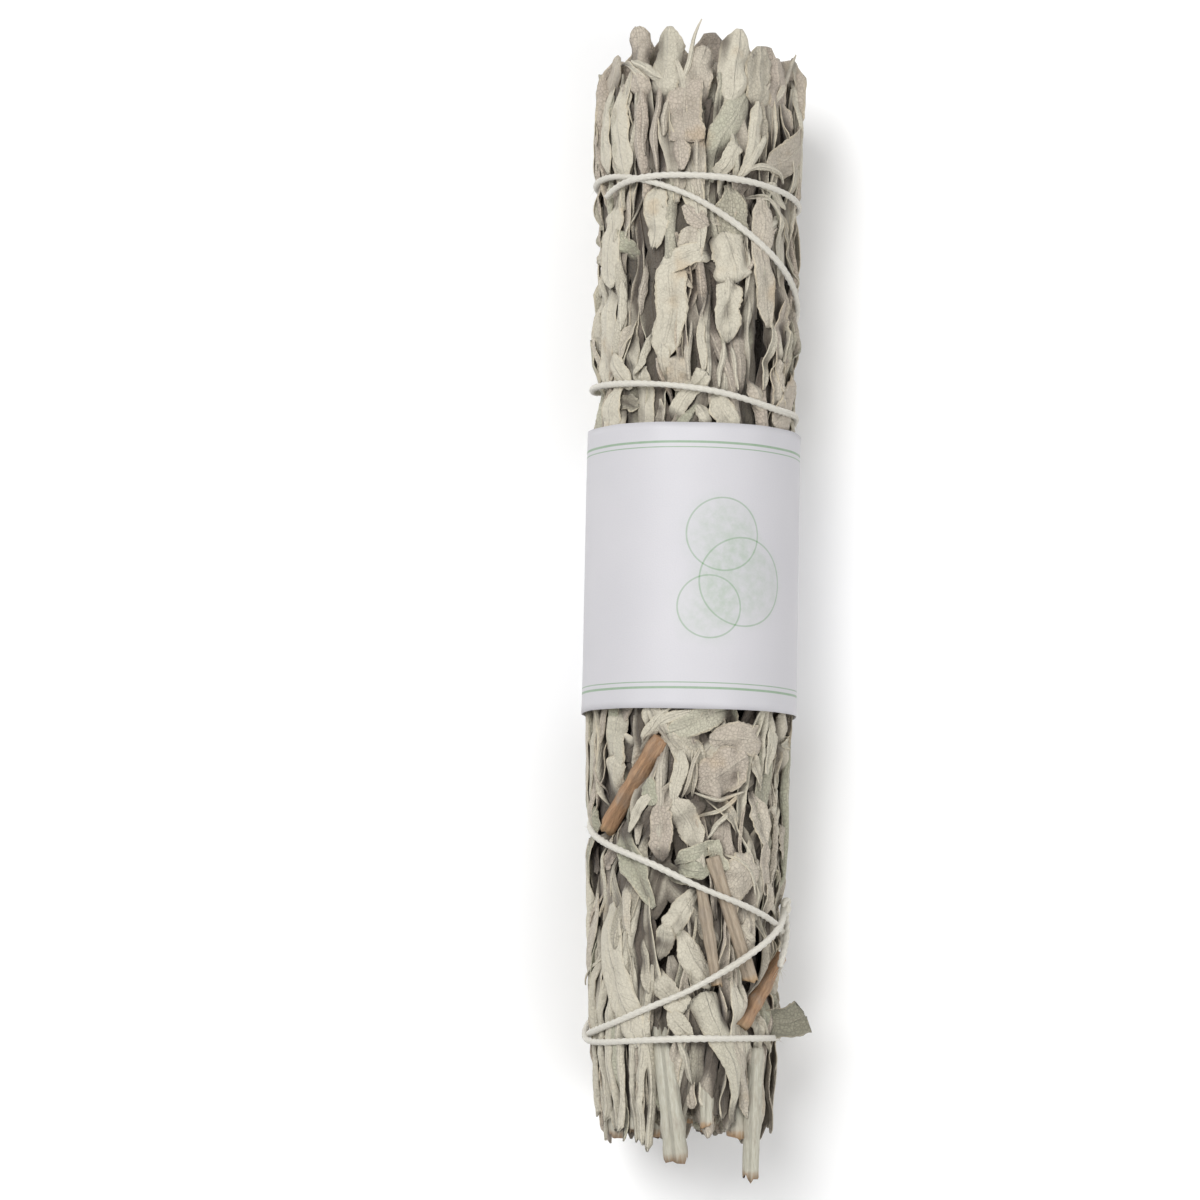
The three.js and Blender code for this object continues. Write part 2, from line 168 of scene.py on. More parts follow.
def string_path(route, points):
    """Points on the string: the route's rows joined at even lengths, its corners softened, laid on the bundle."""
    strides = np.hypot(np.diff(route[:, 0]) * np.radians(LEAF_RADIUS), np.diff(route[:, 1]))
    passed = np.concatenate([[0], np.cumsum(strides)])
    even = np.linspace(0, passed[-1], points)
    reach = max(1, int(3.2 * points / passed[-1]))
    degrees, y, lift = (softened(np.interp(even, passed, route[:, k]), reach) for k in range(3))
    angle = np.radians(degrees)
    under_band = banded(y)
    limit = outline(y) - 1.86 * under_band
    floor = RESTING_DROP - 0.2 - 0.8 * under_band - STRING_RADIUS
    radius = np.minimum(limit + 0.95 - STRING_SINK * (1 - under_band) + lift, on_floor(angle, floor))
    return angle, y, radius


string_angle, string_y, string_radius = string_path(STRING_ROUTE, 1900)

# Where bare wood lies in the surface, which presses the leaves in too. Each twig: across and along the bundle
# at its snapped end and its other end, its radius, and whether its bark is young. Each of the two stems at the
# foot: its cut and its other end from the bundle's axis, its radius, and how far it bows up.
TWIGS = [
    dict(cut=(-15.4, -46.3), end=(-5.5, -29.5), thickness=1.75, young=False),
    dict(cut=(5.8, -76.5), end=(2.5, -58), thickness=1.0, young=True),
    dict(cut=(12.2, -75), end=(4.5, -52), thickness=1.35, young=True),
    dict(cut=(10.6, -84), end=(18.2, -70.5), thickness=1.45, young=False),
]
SURFACE_STEMS = [
    dict(cut=(-1.4, -108.9, 14.3), end=(-4.8, -82, 12.2), thickness=2.15, bow=2.0),
    dict(cut=(13.0, -112.2, 8.6), end=(13.3, -88, 9.6), thickness=1.5, bow=0.4),
]
TWIG_SINK = 0.55  # that a twig's upper side lies below the bundle's outline


def twig_ends(row):
    """The two ends of a twig that lies just under the outline of the bundle's upper side."""
    ends = []
    for x, y in (row["cut"], row["end"]):
        radius = outline(y) - row["thickness"] - TWIG_SINK
        ends.append(np.array([x, y, np.sqrt(max(0, radius**2 - x**2))]))
    return ends



def bowed(cut, end, bow, points):
    """Points from a stem's cut to its other end, bowed up between them."""
    share = np.linspace(0, 1, points)[:, None]
    return cut + share * (np.array(end) - cut) + bow * np.sin(np.pi * share) * np.array([0, 0, 1.0])


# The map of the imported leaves. The bundle's surface is unrolled to a flat grid of 1 mm cells, with the
# distance across measured round the bundle from its upper side. Leaves are laid on it one after another, each
# resting on those below, and then the whole pack is pressed in to the bundle's outline.
ROUND = TURN * LEAF_RADIUS
CELLS_ROUND, CELLS_ALONG = 127, 240
MAP_START = -120.0
cell_across = (np.arange(CELLS_ROUND)[:, None] / CELLS_ROUND) * ROUND
cell_along = MAP_START + np.arange(CELLS_ALONG)[None, :] + 0.0
piled = np.zeros((CELLS_ROUND, CELLS_ALONG))


def cell_of(across, y):
    """Row and column in the map, as fractions, for a place on the unrolled bundle."""
    return (across % ROUND) / ROUND * CELLS_ROUND, np.clip(y - MAP_START, 0, CELLS_ALONG - 1.001)


def read_map(values, across, y):
    """The map's value at each place, mixed from the four nearest cells."""
    row, column = cell_of(across, y)
    i, j = row.astype(int), column.astype(int)
    u, v = row - i, column - j
    low, high = i % CELLS_ROUND, (i + 1) % CELLS_ROUND
    near = values[low, j] * (1 - v) + values[low, j + 1] * v
    far = values[high, j] * (1 - v) + values[high, j + 1] * v
    return near * (1 - u) + far * u


def angle_at(across):
    """The angle round the bundle for a distance across, measured to the right from its upper side."""
    return TURN / 4 - across / LEAF_RADIUS


def spread_from(values, reach):
    """The largest of each cell's neighbours, each lessened by a bell curve of its distance."""
    widest = int(3 * reach)
    result = values.copy()
    for i in range(-widest, widest + 1):
        for j in range(-widest, widest + 1):
            weight = np.exp(-0.5 * (i * i + j * j) / reach**2)
            shifted = np.roll(values, (i, j), axis=(0, 1))
            result = np.maximum(result, weight * shifted)
    return result


def uneven(across, y, waves):
    """Soft lumps from 0 to 1: the mean of a few sine waves that close round the bundle."""
    total = 0.0
    for k in range(waves):
        turns = 2 + int(6 * draw(k, 1, 71))
        total = total + np.sin(
            across / LEAF_RADIUS * turns + y / (4 + 9 * draw(k, 2, 71)) + TURN * draw(k, 3, 71)
        )
    return 0.5 + 0.5 * total / waves


envelope = outline(cell_along) + 0.3 - 0.4 * banded(cell_along)
envelope = envelope - 0.9 * uneven(cell_across, cell_along, 7) * (1 - banded(cell_along))
hollow_across = (cell_across + ROUND / 2) % ROUND - ROUND / 2 - 3.4
envelope = envelope - 5.5 * np.exp(-((hollow_across / 2.4) ** 2) - ((cell_along + 99) / 4.2) ** 2)
envelope = np.minimum(envelope, on_floor(angle_at(cell_across), RESTING_DROP - 0.75))
string_across = (TURN / 4 - string_angle) * LEAF_RADIUS
string_row, string_column = (part.astype(int) for part in cell_of(string_across, string_y))
below_string = np.full(envelope.shape, 99.0)
np.minimum.at(below_string, (string_row, string_column), string_radius - STRING_RADIUS + 0.1)
wood = [bowed(*twig_ends(row), 0.3, 60) for row in TWIGS]
wood += [bowed(row["cut"], row["end"], row["bow"], 60)[:46] for row in SURFACE_STEMS]
for points in wood:
    x, y, z = points.T
    across = (TURN / 4 - np.arctan2(z, x)) * LEAF_RADIUS
    twig_row, twig_column = (part.astype(int) for part in cell_of(across, y))
    np.minimum.at(below_string, (twig_row, twig_column), np.hypot(x, z) - 0.2)
grooved = spread_from(np.maximum(0, envelope - below_string), 1.6)
envelope = envelope - grooved

# Sage leaves. A dried white sage leaf is a thick, felted, greyish blade of 5 to 12 mm, narrow at its stalk,
# with curled or folded sides and crumpled faces. It is made as a thin closed shell.
ALONG, ACROSS = 29, 13
s = np.linspace(0, 1, ALONG)[:, None]
t = np.linspace(-1, 1, ACROSS)[None, :]
LEAF_THICKNESS = 0.3


def sheet_faces(rows, columns):
    """Quads of a closed shell: an upper and a lower grid of points, and the rim that joins them."""
    index = np.arange(rows * columns).reshape(rows, columns)
    cells = [index[:-1, :-1], index[:-1, 1:], index[1:, 1:], index[1:, :-1]]
    upper = np.stack(cells, axis=-1).reshape(-1, 4)
    lower = upper[:, ::-1] + rows * columns
    edge = np.concatenate([index[0, :-1], index[:-1, -1], index[-1, :0:-1], index[:0:-1, 0]])
    following = np.roll(edge, -1)
    below = rows * columns
    rim = np.stack([edge, edge + below, following + below, following], axis=-1)
    return np.concatenate([upper, lower, rim])


def shell_points(middle, thickness):
    """The upper and lower points of a sheet: its middle surface moved half its thickness to each side."""
    along, across = np.gradient(middle, axis=0), np.gradient(middle, axis=1)
    normal = np.cross(across, along)
    normal = normal / np.maximum(np.linalg.norm(normal, axis=-1, keepdims=True), 1e-9)
    half = np.broadcast_to(np.asarray(thickness) / 2, middle.shape[:2])[..., None]
    return np.concatenate([(middle + half * normal).reshape(-1, 3), (middle - half * normal).reshape(-1, 3)])


def from_midrib(values):
    """The integral across the blade of values at each t, outwards from the midrib."""
    step = 2 / (ACROSS - 1)
    total = np.cumsum((values[:, 1:] + values[:, :-1]) / 2 * step, axis=1)
    total = np.concatenate([np.zeros((len(values), 1)), total], axis=1)
    return total - total[:, [ACROSS // 2]]


def creases(along, aside, leaf):
    """A crumpled height: five zigzag waves over the blade, each in its own direction and length."""
    height = 0.0
    for k in range(5):
        direction = TURN * draw(leaf["seed"], k, 81)
        length = 2.0 + 6.5 * draw(leaf["seed"], k, 82)
        place = (along * np.cos(direction) + aside * np.sin(direction)) / length + draw(leaf["seed"], k, 83)
        height = height + length / 5.4 * (2 / np.pi) * np.arcsin(0.99 * np.sin(TURN * place))
    return leaf["crumple"] * height


def blade(leaf):
    """A leaf before it is laid: across and along from its stalk, and its height, at each point of its grid.

    The spine turns by the leaf's bend. At each place on it the blade's section is a line whose slope grows
    from the midrib by the fold and towards the margins by the curl, rolled about the spine as a whole.
    """
    wander = 0.14 * np.sin(TURN * (1.3 * s + draw(leaf["seed"], 1, 84)))
    heading = leaf["heading"] + leaf["bend"] * (s - 0.5) + wander
    step = leaf["length"] / (ALONG - 1)
    spine_across = np.cumsum(np.sin(heading), axis=0) * step
    spine_along = np.cumsum(np.cos(heading), axis=0) * step
    rise = np.maximum(0.22, np.clip(s / leaf["stalk"], 0, 1)) ** 0.7
    fall = np.maximum(0.05, np.clip((1 - s) / leaf["blunt"], 0, 1)) ** 0.5
    ragged = np.random.default_rng(leaf["seed"]).normal(0, 0.03, (ALONG, 2))
    ragged = np.where(t < 0, ragged[:, :1], ragged[:, 1:]) * np.abs(t)
    swell = leaf["swell"] * np.sin(TURN * (2.6 * s + draw(leaf["seed"], 2, 84)) + t)
    width = leaf["half"] * rise * fall * (1 + swell + ragged)
    ripple = np.sin(TURN * (leaf["waves"] * s + draw(leaf["seed"], 3, 84)) + 1.9 * np.sign(t))
    varied = 0.7 + 0.5 * np.sin(TURN * (0.8 * s + draw(leaf["seed"], 4, 84)))
    slope = leaf["fold"] * np.tanh(8 * t) + leaf["curl"] * t * np.abs(t) * varied
    slope = slope + leaf["ruffle"] * ripple * t * t
    aside = width * from_midrib(np.cos(slope))
    height = width * from_midrib(np.sin(slope))
    roll = leaf["roll"] + leaf["twist"] * (s - 0.5)
    aside, height = aside * np.cos(roll) - height * np.sin(roll), aside * np.sin(roll) + height * np.cos(roll)
    torn = leaf["tear"] * np.abs((2.3 * t + draw(leaf["seed"], 5, 84)) % 1 - 0.5) * smooth(s, 0.75, 1)
    length_at = s * leaf["length"] - torn
    drift = draw(leaf["seed"], 6, 84) + 0.25 * np.sin(TURN * (0.9 * s + draw(leaf["seed"], 7, 84)))
    pleats = leaf["pleat"] * width / 3 * np.sin(TURN * (leaf["pleats"] * t + drift)) * (1 - 0.6 * t * t)
    height = height + pleats + creases(length_at, width * t, leaf) + leaf["arch"] * np.sin(np.pi * s)
    across = spine_across + aside * np.cos(heading) - torn * np.sin(heading)
    along = spine_along - aside * np.sin(heading) - torn * np.cos(heading)
    return across, along, height, width * t, length_at


closeness = np.exp(-0.5 * ((np.arange(ALONG)[:, None] - np.arange(ALONG)[None, :]) / 2.6) ** 2)
closeness = closeness / closeness.sum(axis=1, keepdims=True)


def lay(leaf):
    """A leaf laid on the pile: its spine follows what lies under it, and its stalk dips under the others."""
    across, along, height, aside, length_at = blade(leaf)
    across, y = leaf["across"] + across, leaf["y"] + along
    y = y - np.maximum(0, y.max() - leaf["highest"]) + np.maximum(0, leaf["lowest"] - y.min())
    under = np.quantile(read_map(piled, across, y) - height, 0.78, axis=1)
    rest = (closeness @ under)[:, None]
    dip = leaf["tuck"] * (1 - smooth(s, 0, 0.22))
    height = rest + height + 0.25 - dip + leaf["lift"] * smooth(s, 0.7, 1)
    row, column = (part.astype(int) for part in cell_of(across, y))
    np.maximum.at(piled, (row, column), height + LEAF_THICKNESS / 2)
    return {"across": across, "y": y, "height": height, "aside": aside, "length_at": length_at, **leaf_tone(leaf)}


def leaf_tone(leaf):
    """What the leaf's colour is made from: how pale it is and how brown."""
    return {"pale": leaf["pale"], "warm": leaf["warm"]}


# Leaves as they lie along the bundle. Twelve sprigs make the outside: on each, pairs of leaves stand up the
# stem at even distances, a quarter of them bent back to the stems, and smaller leaves, rolled strips and
# broken pieces fill the spaces over them.
OUTER_SPRIGS, INNER_SPRIGS = 12, 5
LEAF_PAIRS, PAIR_SPACING, LOWEST_LEAF = 6, 30.5, -98
FORMS = {
    "strip": dict(length=(20, 42), half=(1.4, 2.7), fold=(0.3, 1.0), curl=(0.4, 1.6), crumple=(0.08, 0.25)),
    "open": dict(length=(15, 30), half=(2.6, 4.6), fold=(0.05, 0.4), curl=(0.4, 1.3), crumple=(0.12, 0.32)),
    "folded": dict(length=(18, 34), half=(2.6, 4.4), fold=(0.7, 1.3), curl=(0.1, 0.6), crumple=(0.1, 0.3)),
    "scrap": dict(length=(5, 11), half=(1.3, 2.6), fold=(0.1, 0.6), curl=(0.0, 0.5), crumple=(0.15, 0.4)),
    "stalk": dict(length=(9, 20), half=(0.4, 0.75), fold=(0.8, 1.2), curl=(0.0, 0.4), crumple=(0.0, 0.08)),
}


def leaf_of(form, seed, **chosen):
    """A leaf's numbers, drawn from the ranges of its form unless they are chosen."""

    def pick(key, low, high):
        return low + draw(seed, key, 90) * (high - low)

    def either(key):
        return 1 if draw(seed, key, 91) < 0.5 else -1

    ranges = FORMS[form]
    leaf = dict(
        seed=seed,
        length=pick(1, *ranges["length"]),
        half=pick(2, *ranges["half"]),
        fold=either(3) * pick(3, *ranges["fold"]),
        curl=either(4) * pick(4, *ranges["curl"]),
        crumple=pick(5, *ranges["crumple"]),
        bend=pick(6, -0.5, 0.5),
        roll=pick(7, -0.4, 0.4),
        twist=pick(8, -0.7, 0.7),
        ruffle=pick(9, 0.1, 0.6),
        waves=pick(10, 1.5, 4.5),
        stalk=pick(11, 0.12, 0.4),
        blunt=pick(12, 0.12, 0.5),
        tear=pick(13, -3.5, 2.5),
        arch=pick(14, -0.3, 0.9),
        tuck=pick(15, 0.6, 2.2),
        lift=pick(16, -0.4, 0.8),
        pale=pick(17, 0, 1),
        warm=pick(18, 0, 1),
        highest=pick(19, 97, 104),
        lowest=pick(20, -107, -101),
        pleat=pick(21, 0.05, 0.38),
        pleats=pick(22, 0.5, 1.3),
        swell=pick(23, 0.06, 0.15),
    )
    leaf["tear"] = max(0, leaf["tear"])
    return {**leaf, **chosen}


def sprig_middle(index):
    """The distance across at which an outer sprig lies, before the bundle's turn."""
    return -(index + 0.5) / OUTER_SPRIGS * ROUND


def paired_leaf(index, n):
    """Leaf n of a sprig's pairs, in the place that the solid sprig has it."""

    def pick(key, low, high):
        return low + draw(index, n, key) * (high - low)

    side = 1 if n % 2 else -1
    length = pick(21, 34, 48)
    base = LOWEST_LEAF + n // 2 * PAIR_SPACING + pick(22, -4, 8)
    backward = pick(20, 0, 1) < 0.25
    y = base + 0.8 * length if backward else base
    return leaf_of(
        ["strip", "open", "folded"][int(3 * draw(index, n, 31))],
        1000 + 40 * index + n,
        across=sprig_middle(index) - LEAF_RADIUS * turned(y) + side * pick(23, 1.6, 3.4),
        y=y,
        heading=(np.pi if backward else 0) + np.radians(side * pick(24, -4, 9)),
        length=length,
        half=1.15 * pick(25, 2.7, 4.2),
    )


FILLING = [
    ("strip", 8, 26),
    ("folded", 7, 34),
    ("open", 6, 44),
    ("strip", 9, 26),
    ("scrap", 6, 150),
    ("strip", 7, 22),
    ("stalk", 5, 60),
]


def filling_leaf(index, group, n):
    """One of a sprig's smaller leaves, spread evenly along it and turned at random, most where it is loose."""
    form, count, disorder = FILLING[group]
    seed = 3000 + 1000 * group + 40 * index + n
    y = -104 + (n + draw(seed, 1, 92)) / count * 200
    loose = disorder + 35 * np.exp(-(((y + 52) / 22) ** 2))
    heading = np.radians((draw(seed, 2, 92) + draw(seed, 3, 92) - 1) * loose)
    heading = heading + (np.pi if draw(seed, 4, 92) < 0.35 else 0)
    place = sprig_middle(index) + (draw(seed, 5, 92) - 0.5) * 1.15 * ROUND / OUTER_SPRIGS
    return leaf_of(form, seed, across=place - LEAF_RADIUS * turned(y), y=y, heading=heading)


def end_strip(index, n, foot):
    """A narrow leaf that runs to one end of the bundle: its tip down to the cut stems, or up to the loose tips."""
    seed = 14000 + 5000 * foot + 40 * index + n
    y = -78 - 6 * draw(seed, 1, 94) if foot else 76 + 6 * draw(seed, 1, 94)
    heading = (np.pi if foot else 0) + 0.3 * (draw(seed, 2, 94) - 0.5)
    place = sprig_middle(index) + (n + draw(seed, 3, 94) - 1.5) / 3 * ROUND / OUTER_SPRIGS
    return leaf_of(
        "strip",
        seed,
        across=place - LEAF_RADIUS * turned(y),
        y=y,
        heading=heading,
        length=25 + 5 * draw(seed, 4, 94),
        blunt=0.05 if foot else 0.4,
        tear=0,
        lift=0,
    )


# Leaves of the upper side, where each lies. Each row: its form, then across and along the bundle from its
# stalk to its tip as the camera sees it, its half width, how pale and how brown it is, and what is its own.
VIEW_DISTANCE, VIEW_TILT = 0.8, np.radians(6)
SQUARE = dict(stalk=0.03, blunt=0.03, fold=-0.15, curl=0.3, tear=1.0)
POINTED = dict(stalk=0.3, blunt=0.9)
ROUNDED = dict(stalk=0.15, blunt=0.24, tear=0, roll=0, twist=0, fold=-0.2, swell=0.05)
LOOPED = dict(fold=-0.45, curl=-0.25)
FLAT = dict(fold=-0.1, curl=0.15, roll=0, twist=0, swell=0.05, ruffle=0.25, stalk=0.12, blunt=0.2)
ROOF = dict(fold=-0.9, curl=-0.3)
GUTTER = dict(fold=0.6, curl=0.5)
UPPER_LEAVES = [
    ("open", (16.6, 94), (16.2, 105.0), 3.0, 0.15, 0.9, ROUNDED),
    ("open", (12.0, 95), (12.6, 107.4), 3.2, 0.4, 0.4, ROUNDED),
    ("folded", (-20.1, 94), (-18.0, 104.8), 2.2, 0.5, 0.8, ROUNDED),
    ("folded", (-12.6, 96), (-13.5, 110.6), 2.7, 0.4, 1.0, ROUNDED | dict(fold=-0.4, curl=-0.2, blunt=0.1, tear=0.8)),
    ("open", (-8.0, 96), (-6.4, 110.7), 3.3, 0.7, 0.3, ROUNDED | LOOPED),
    ("open", (-2.6, 96), (0.2, 107.4), 3.0, 0.5, 0.8, ROUNDED),
    ("strip", (-17.9, 103.5), (-11.8, 100.5), 0.8, 0.9, 0.4, dict(bend=0.8)),
    ("folded", (-8.0, 101), (-14.5, 104.4), 1.7, 0.95, 0.3, ROOF),
    ("strip", (-4.6, 99), (-0.7, 112.4), 0.65, 0.95, 0.2, POINTED),
    ("strip", (-19.9, 101), (-17.9, 82.5), 2.2, 0.9, 0.3, FLAT | dict(swell=0.14)),
    ("strip", (-16.6, 100), (-14.6, 81.5), 2.6, 1.0, 0.3, FLAT | dict(swell=0.16)),
    ("strip", (-12.7, 101), (-11.0, 86), 1.2, 0.1, 0.9, ROOF),
    ("folded", (-9.6, 101), (-8.9, 82.5), 1.8, 0.3, 0.9, {}),
    ("scrap", (-4.6, 90), (-3.6, 83), 2.0, 0.3, 0.95, dict(crumple=0.6)),
    ("open", (-3.9, 101.3), (-3.1, 88.6), 3.7, 0.3, 0.95, SQUARE),
    ("strip", (-7.3, 97.8), (-7.7, 89.8), 1.1, 0.5, 0.6, ROOF),
    ("folded", (17.5, 97), (18.6, 84), 2.6, 0.35, 0.7, {}),
    ("open", (21.0, 89.5), (13.6, 83.6), 3.3, 0.25, 0.5, ROUNDED),
    ("strip", (11.9, 97.4), (7.9, 81.5), 1.5, 0.8, 0.3, dict(bend=0.5)),
    ("strip", (13.6, 91), (8.5, 82), 1.2, 0.85, 0.3, ROOF),
    ("open", (9.8, 98.8), (1.8, 81.6), 3.5, 0.5, 0.0, dict(fold=-0.2, curl=-0.3, bend=-0.4, stalk=0.2, blunt=0.7)),
    ("strip", (8.1, 89.2), (3.6, 82), 1.6, 0.85, 0.1, SQUARE),
    ("open", (5.6, 96), (7.6, 110.6), 3.6, 0.9, 0.6, ROUNDED | LOOPED),
    ("strip", (15.8, 95.5), (20.4, 105.4), 1.5, 0.6, 0.8, ROOF),
    ("strip", (20.2, 105.6), (20.6, 95), 1.8, 0.7, 0.6, FLAT),
    ("strip", (20.0, 101.5), (19.6, 90), 2.0, 0.75, 0.2, dict(stalk=0.4, blunt=0.95, fold=-0.4)),
    ("stalk", (8.3, 81.6), (17.6, 80.4), 0.95, 0.7, 0.5, dict(bend=1.7)),
    ("stalk", (9.5, 77.8), (16.8, 72.6), 1.0, 0.8, 0.5, dict(bend=1.5)),
    ("strip", (12.4, 80), (18.0, 75.5), 1.4, 0.85, 0.3, dict(bend=0.8)),
    ("strip", (-17.8, 78), (-16.9, 60), 3.0, 1.0, 0.35, FLAT),
    ("open", (-8.3, 81), (-8.8, 67.6), 2.6, 0.95, 0.35, dict(tear=2.5, fold=-0.3)),
    ("open", (6.0, 81), (7.8, 68.8), 3.3, 0.1, 0.3, dict(fold=-0.1, curl=0.5)),
    ("strip", (12.1, 78.8), (14.5, 53.2), 2.5, 0.55, 1.0, FLAT),
    ("strip", (15.4, 78), (17.8, 61), 0.9, 0.85, 0.3, dict(ruffle=0.9)),
    ("strip", (17.4, 76.5), (20.0, 59.8), 1.4, 0.5, 0.4, dict(ruffle=0.9)),
    ("open", (1.5, 71.5), (-3.2, 75.8), 2.4, 0.35, 0.85, POINTED),
    ("open", (3.6, 67.8), (-8.6, 63.0), 2.1, 0.9, 0.4, dict(tear=2.0, fold=0.2, curl=-0.4)),
    ("open", (5.0, 71.6), (7.7, 61), 4.0, 0.95, 0.45, dict(tear=2.0, fold=-0.2, curl=-0.2, stalk=0.12, blunt=0.15)),
    ("strip", (-19.2, 63), (-18.6, 52), 1.6, 0.9, 0.3, ROOF),
    ("strip", (-15.2, 62.5), (-15.0, 51.5), 1.5, 0.9, 0.3, ROOF),
    ("folded", (-11.5, 66), (-12.4, 55), 1.7, 0.4, 0.7, {}),
    ("strip", (2.2, 62), (0.0, 51.5), 0.55, 0.45, 1.0, ROOF),
    ("folded", (5.6, 63), (5.9, 52), 2.2, 0.9, 0.4, ROOF),
    ("strip", (-17.6, 60), (-18.0, 40.4), 2.6, 0.95, 0.35, FLAT),
    ("folded", (-13.2, 53.8), (-14.8, 45.6), 1.9, 0.5, 0.6, POINTED),
    ("open", (-5.2, 66), (-6.8, 46), 3.2, 0.9, 0.2, FLAT | dict(tear=1.0)),
    ("strip", (-7.2, 50.2), (-6.3, 41), 1.5, 0.9, 0.2, dict(fold=-0.3, curl=-0.2)),
    ("folded", (-9.6, 51.6), (-12.3, 43), 1.6, 0.7, 0.3, {}),
    ("strip", (-8.5, 46.4), (-4.8, 36.8), 0.8, 0.0, 1.0, ROOF),
    ("open", (-3.8, 47.4), (-4.0, 40), 2.3, 0.6, 1.0, ROUNDED),
    ("strip", (-1.6, 56), (-1.8, 40.4), 1.0, 0.6, 0.95, ROOF),
    ("strip", (2.5, 59.6), (2.2, 40.4), 1.7, 0.9, 0.4, ROOF),
    ("strip", (0.8, 55.6), (1.4, 44), 1.0, 0.9, 0.4, GUTTER),
    ("open", (6.2, 61.5), (6.4, 49.6), 2.7, 0.9, 0.1, dict(tear=1.5, fold=0.2, stalk=0.05, blunt=0.3)),
    ("strip", (5.6, 51), (4.3, 41), 0.9, 0.9, 0.2, ROOF),
    ("strip", (7.0, 50), (8.6, 40.4), 0.8, 0.8, 0.6, ROOF),
    ("strip", (9.2, 52.6), (9.9, 40), 1.5, 0.3, 0.9, dict(fold=-0.2, curl=0.2)),
    ("strip", (10.6, 60), (11.7, 42.4), 1.3, 0.8, 0.4, dict(ruffle=0.9, waves=2.5)),
    ("strip", (15.3, 54), (13.6, 40.8), 1.3, 0.7, 0.4, GUTTER),
    ("folded", (18.2, 53), (17.4, 46), 1.9, 0.7, 0.3, {}),
    ("folded", (16.5, 47), (17.2, 40), 1.8, 0.4, 0.6, {}),
    ("open", (-16.6, 47), (-13.8, 40), 2.1, 0.95, 0.25, dict(fold=-0.2)),
    ("open", (-15.4, 41), (-16.9, 31), 2.9, 0.95, 0.3, dict(fold=-0.2, curl=0.6)),
    ("strip", (-11.1, 45), (-10.8, 31), 2.0, 0.95, 0.2, dict(fold=-0.2, curl=0.7)),
    ("scrap", (-7.7, 31.5), (-7.4, 38.0), 1.6, 0.65, 1.0, POINTED),
    ("open", (3.0, 40), (7.8, 32.5), 2.7, 0.85, 0.2, dict(fold=0.3)),
    ("folded", (-0.4, 38), (2.9, 32.5), 1.7, 0.9, 0.1, {}),
    ("strip", (-5.4, 34.2), (1.6, 43.4), 1.8, 0.9, 0.15, SQUARE),
    ("scrap", (11.2, 43), (13.4, 36), 1.7, 0.4, 0.6, dict(crumple=0.5)),
    ("open", (20.1, 42), (16.0, 33.2), 3.3, 0.4, 0.75, ROUNDED | dict(fold=-0.1, curl=-0.3)),
    ("open", (9.4, -22.2), (-4.6, -27.2), 2.7, 0.55, 0.1, dict(fold=0.2)),
    ("strip", (-14.6, -22), (-16.2, -36.2), 2.7, 0.65, 0.2, FLAT),
    ("strip", (-15.2, -31), (-16.9, -43), 2.3, 0.75, 0.25, dict(fold=-0.2, curl=0.7)),
    ("strip", (-18.4, -24), (-18.9, -40), 1.4, 0.6, 0.3, ROOF),
    ("folded", (-6.2, -27.4), (-7.5, -36.8), 1.7, 0.4, 0.6, {}),
    ("strip", (-1.6, -29), (-3.4, -41), 1.6, 0.8, 0.35, dict(fold=-0.3)),
    ("stalk", (1.0, -28.4), (0.8, -39.2), 0.95, 0.6, 0.6, {}),
    ("stalk", (2.8, -28.4), (-1.4, -39.8), 0.65, 0.6, 0.7, {}),
    ("open", (14.9, -29.0), (4.2, -28.2), 3.1, 0.4, 0.8, ROUNDED | dict(fold=-0.2, crumple=0.3)),
    ("strip", (16.8, -24.6), (15.3, -34.8), 2.1, 0.8, 0.2, POINTED),
    ("open", (1.4, -38.4), (10.6, -31.8), 4.3, 0.3, 0.95, ROUNDED | dict(crumple=0.5, fold=-0.15)),
    ("folded", (12.0, -31), (14.6, -38), 1.6, 0.6, 0.4, {}),
    ("strip", (-5.0, -26.6), (-11.8, -34.2), 1.0, 0.95, 0.2, dict(bend=0.6, fold=-0.6)),
    ("strip", (-12.6, -32.2), (-0.5, -22.6), 1.1, 0.9, 0.25, dict(bend=0.5, fold=-0.6)),
    ("strip", (-10.6, -29.6), (-4.2, -22.4), 0.8, 0.9, 0.3, dict(bend=0.5, fold=-0.6)),
    ("scrap", (-9.0, -36.0), (-7.0, -41.4), 1.7, 0.3, 0.0, ROUNDED),
    ("strip", (-5.6, -40), (-5.9, -52), 2.4, 0.25, 0.65, dict(fold=-0.2, crumple=0.35)),
    ("open", (-3.2, -39.8), (2.2, -49), 2.8, 0.8, 0.7, ROUNDED | dict(fold=-0.2, crumple=0.25)),
    ("strip", (-6.4, -38.6), (-11.6, -46.8), 1.2, 0.95, 0.15, dict(bend=-0.6, fold=0.4)),
    ("open", (13.0, -38), (15.0, -48.6), 2.9, 0.55, 0.75, dict(fold=0.5, curl=0.6)),
    ("stalk", (0.0, -38.4), (11.2, -38.4), 0.55, 0.75, 0.5, dict(bend=-0.9)),
    ("stalk", (11.0, -38.4), (1.2, -43.6), 0.5, 0.75, 0.5, dict(bend=0.5)),
    ("strip", (8.6, -42), (4.0, -47.4), 0.8, 0.75, 0.4, ROOF),
    ("strip", (17.5, -40), (17.2, -58), 1.2, 0.2, 0.5, ROOF),
    ("strip", (15.0, -48), (15.6, -58.4), 1.6, 0.4, 0.6, {}),
    ("open", (12.6, -50.6), (7.4, -59.6), 3.7, 0.5, 0.8, ROUNDED | dict(fold=-0.15, curl=-0.2, crumple=0.2)),
    ("stalk", (7.2, -50.6), (13.4, -59.0), 0.6, 0.8, 0.4, dict(bend=1.2)),
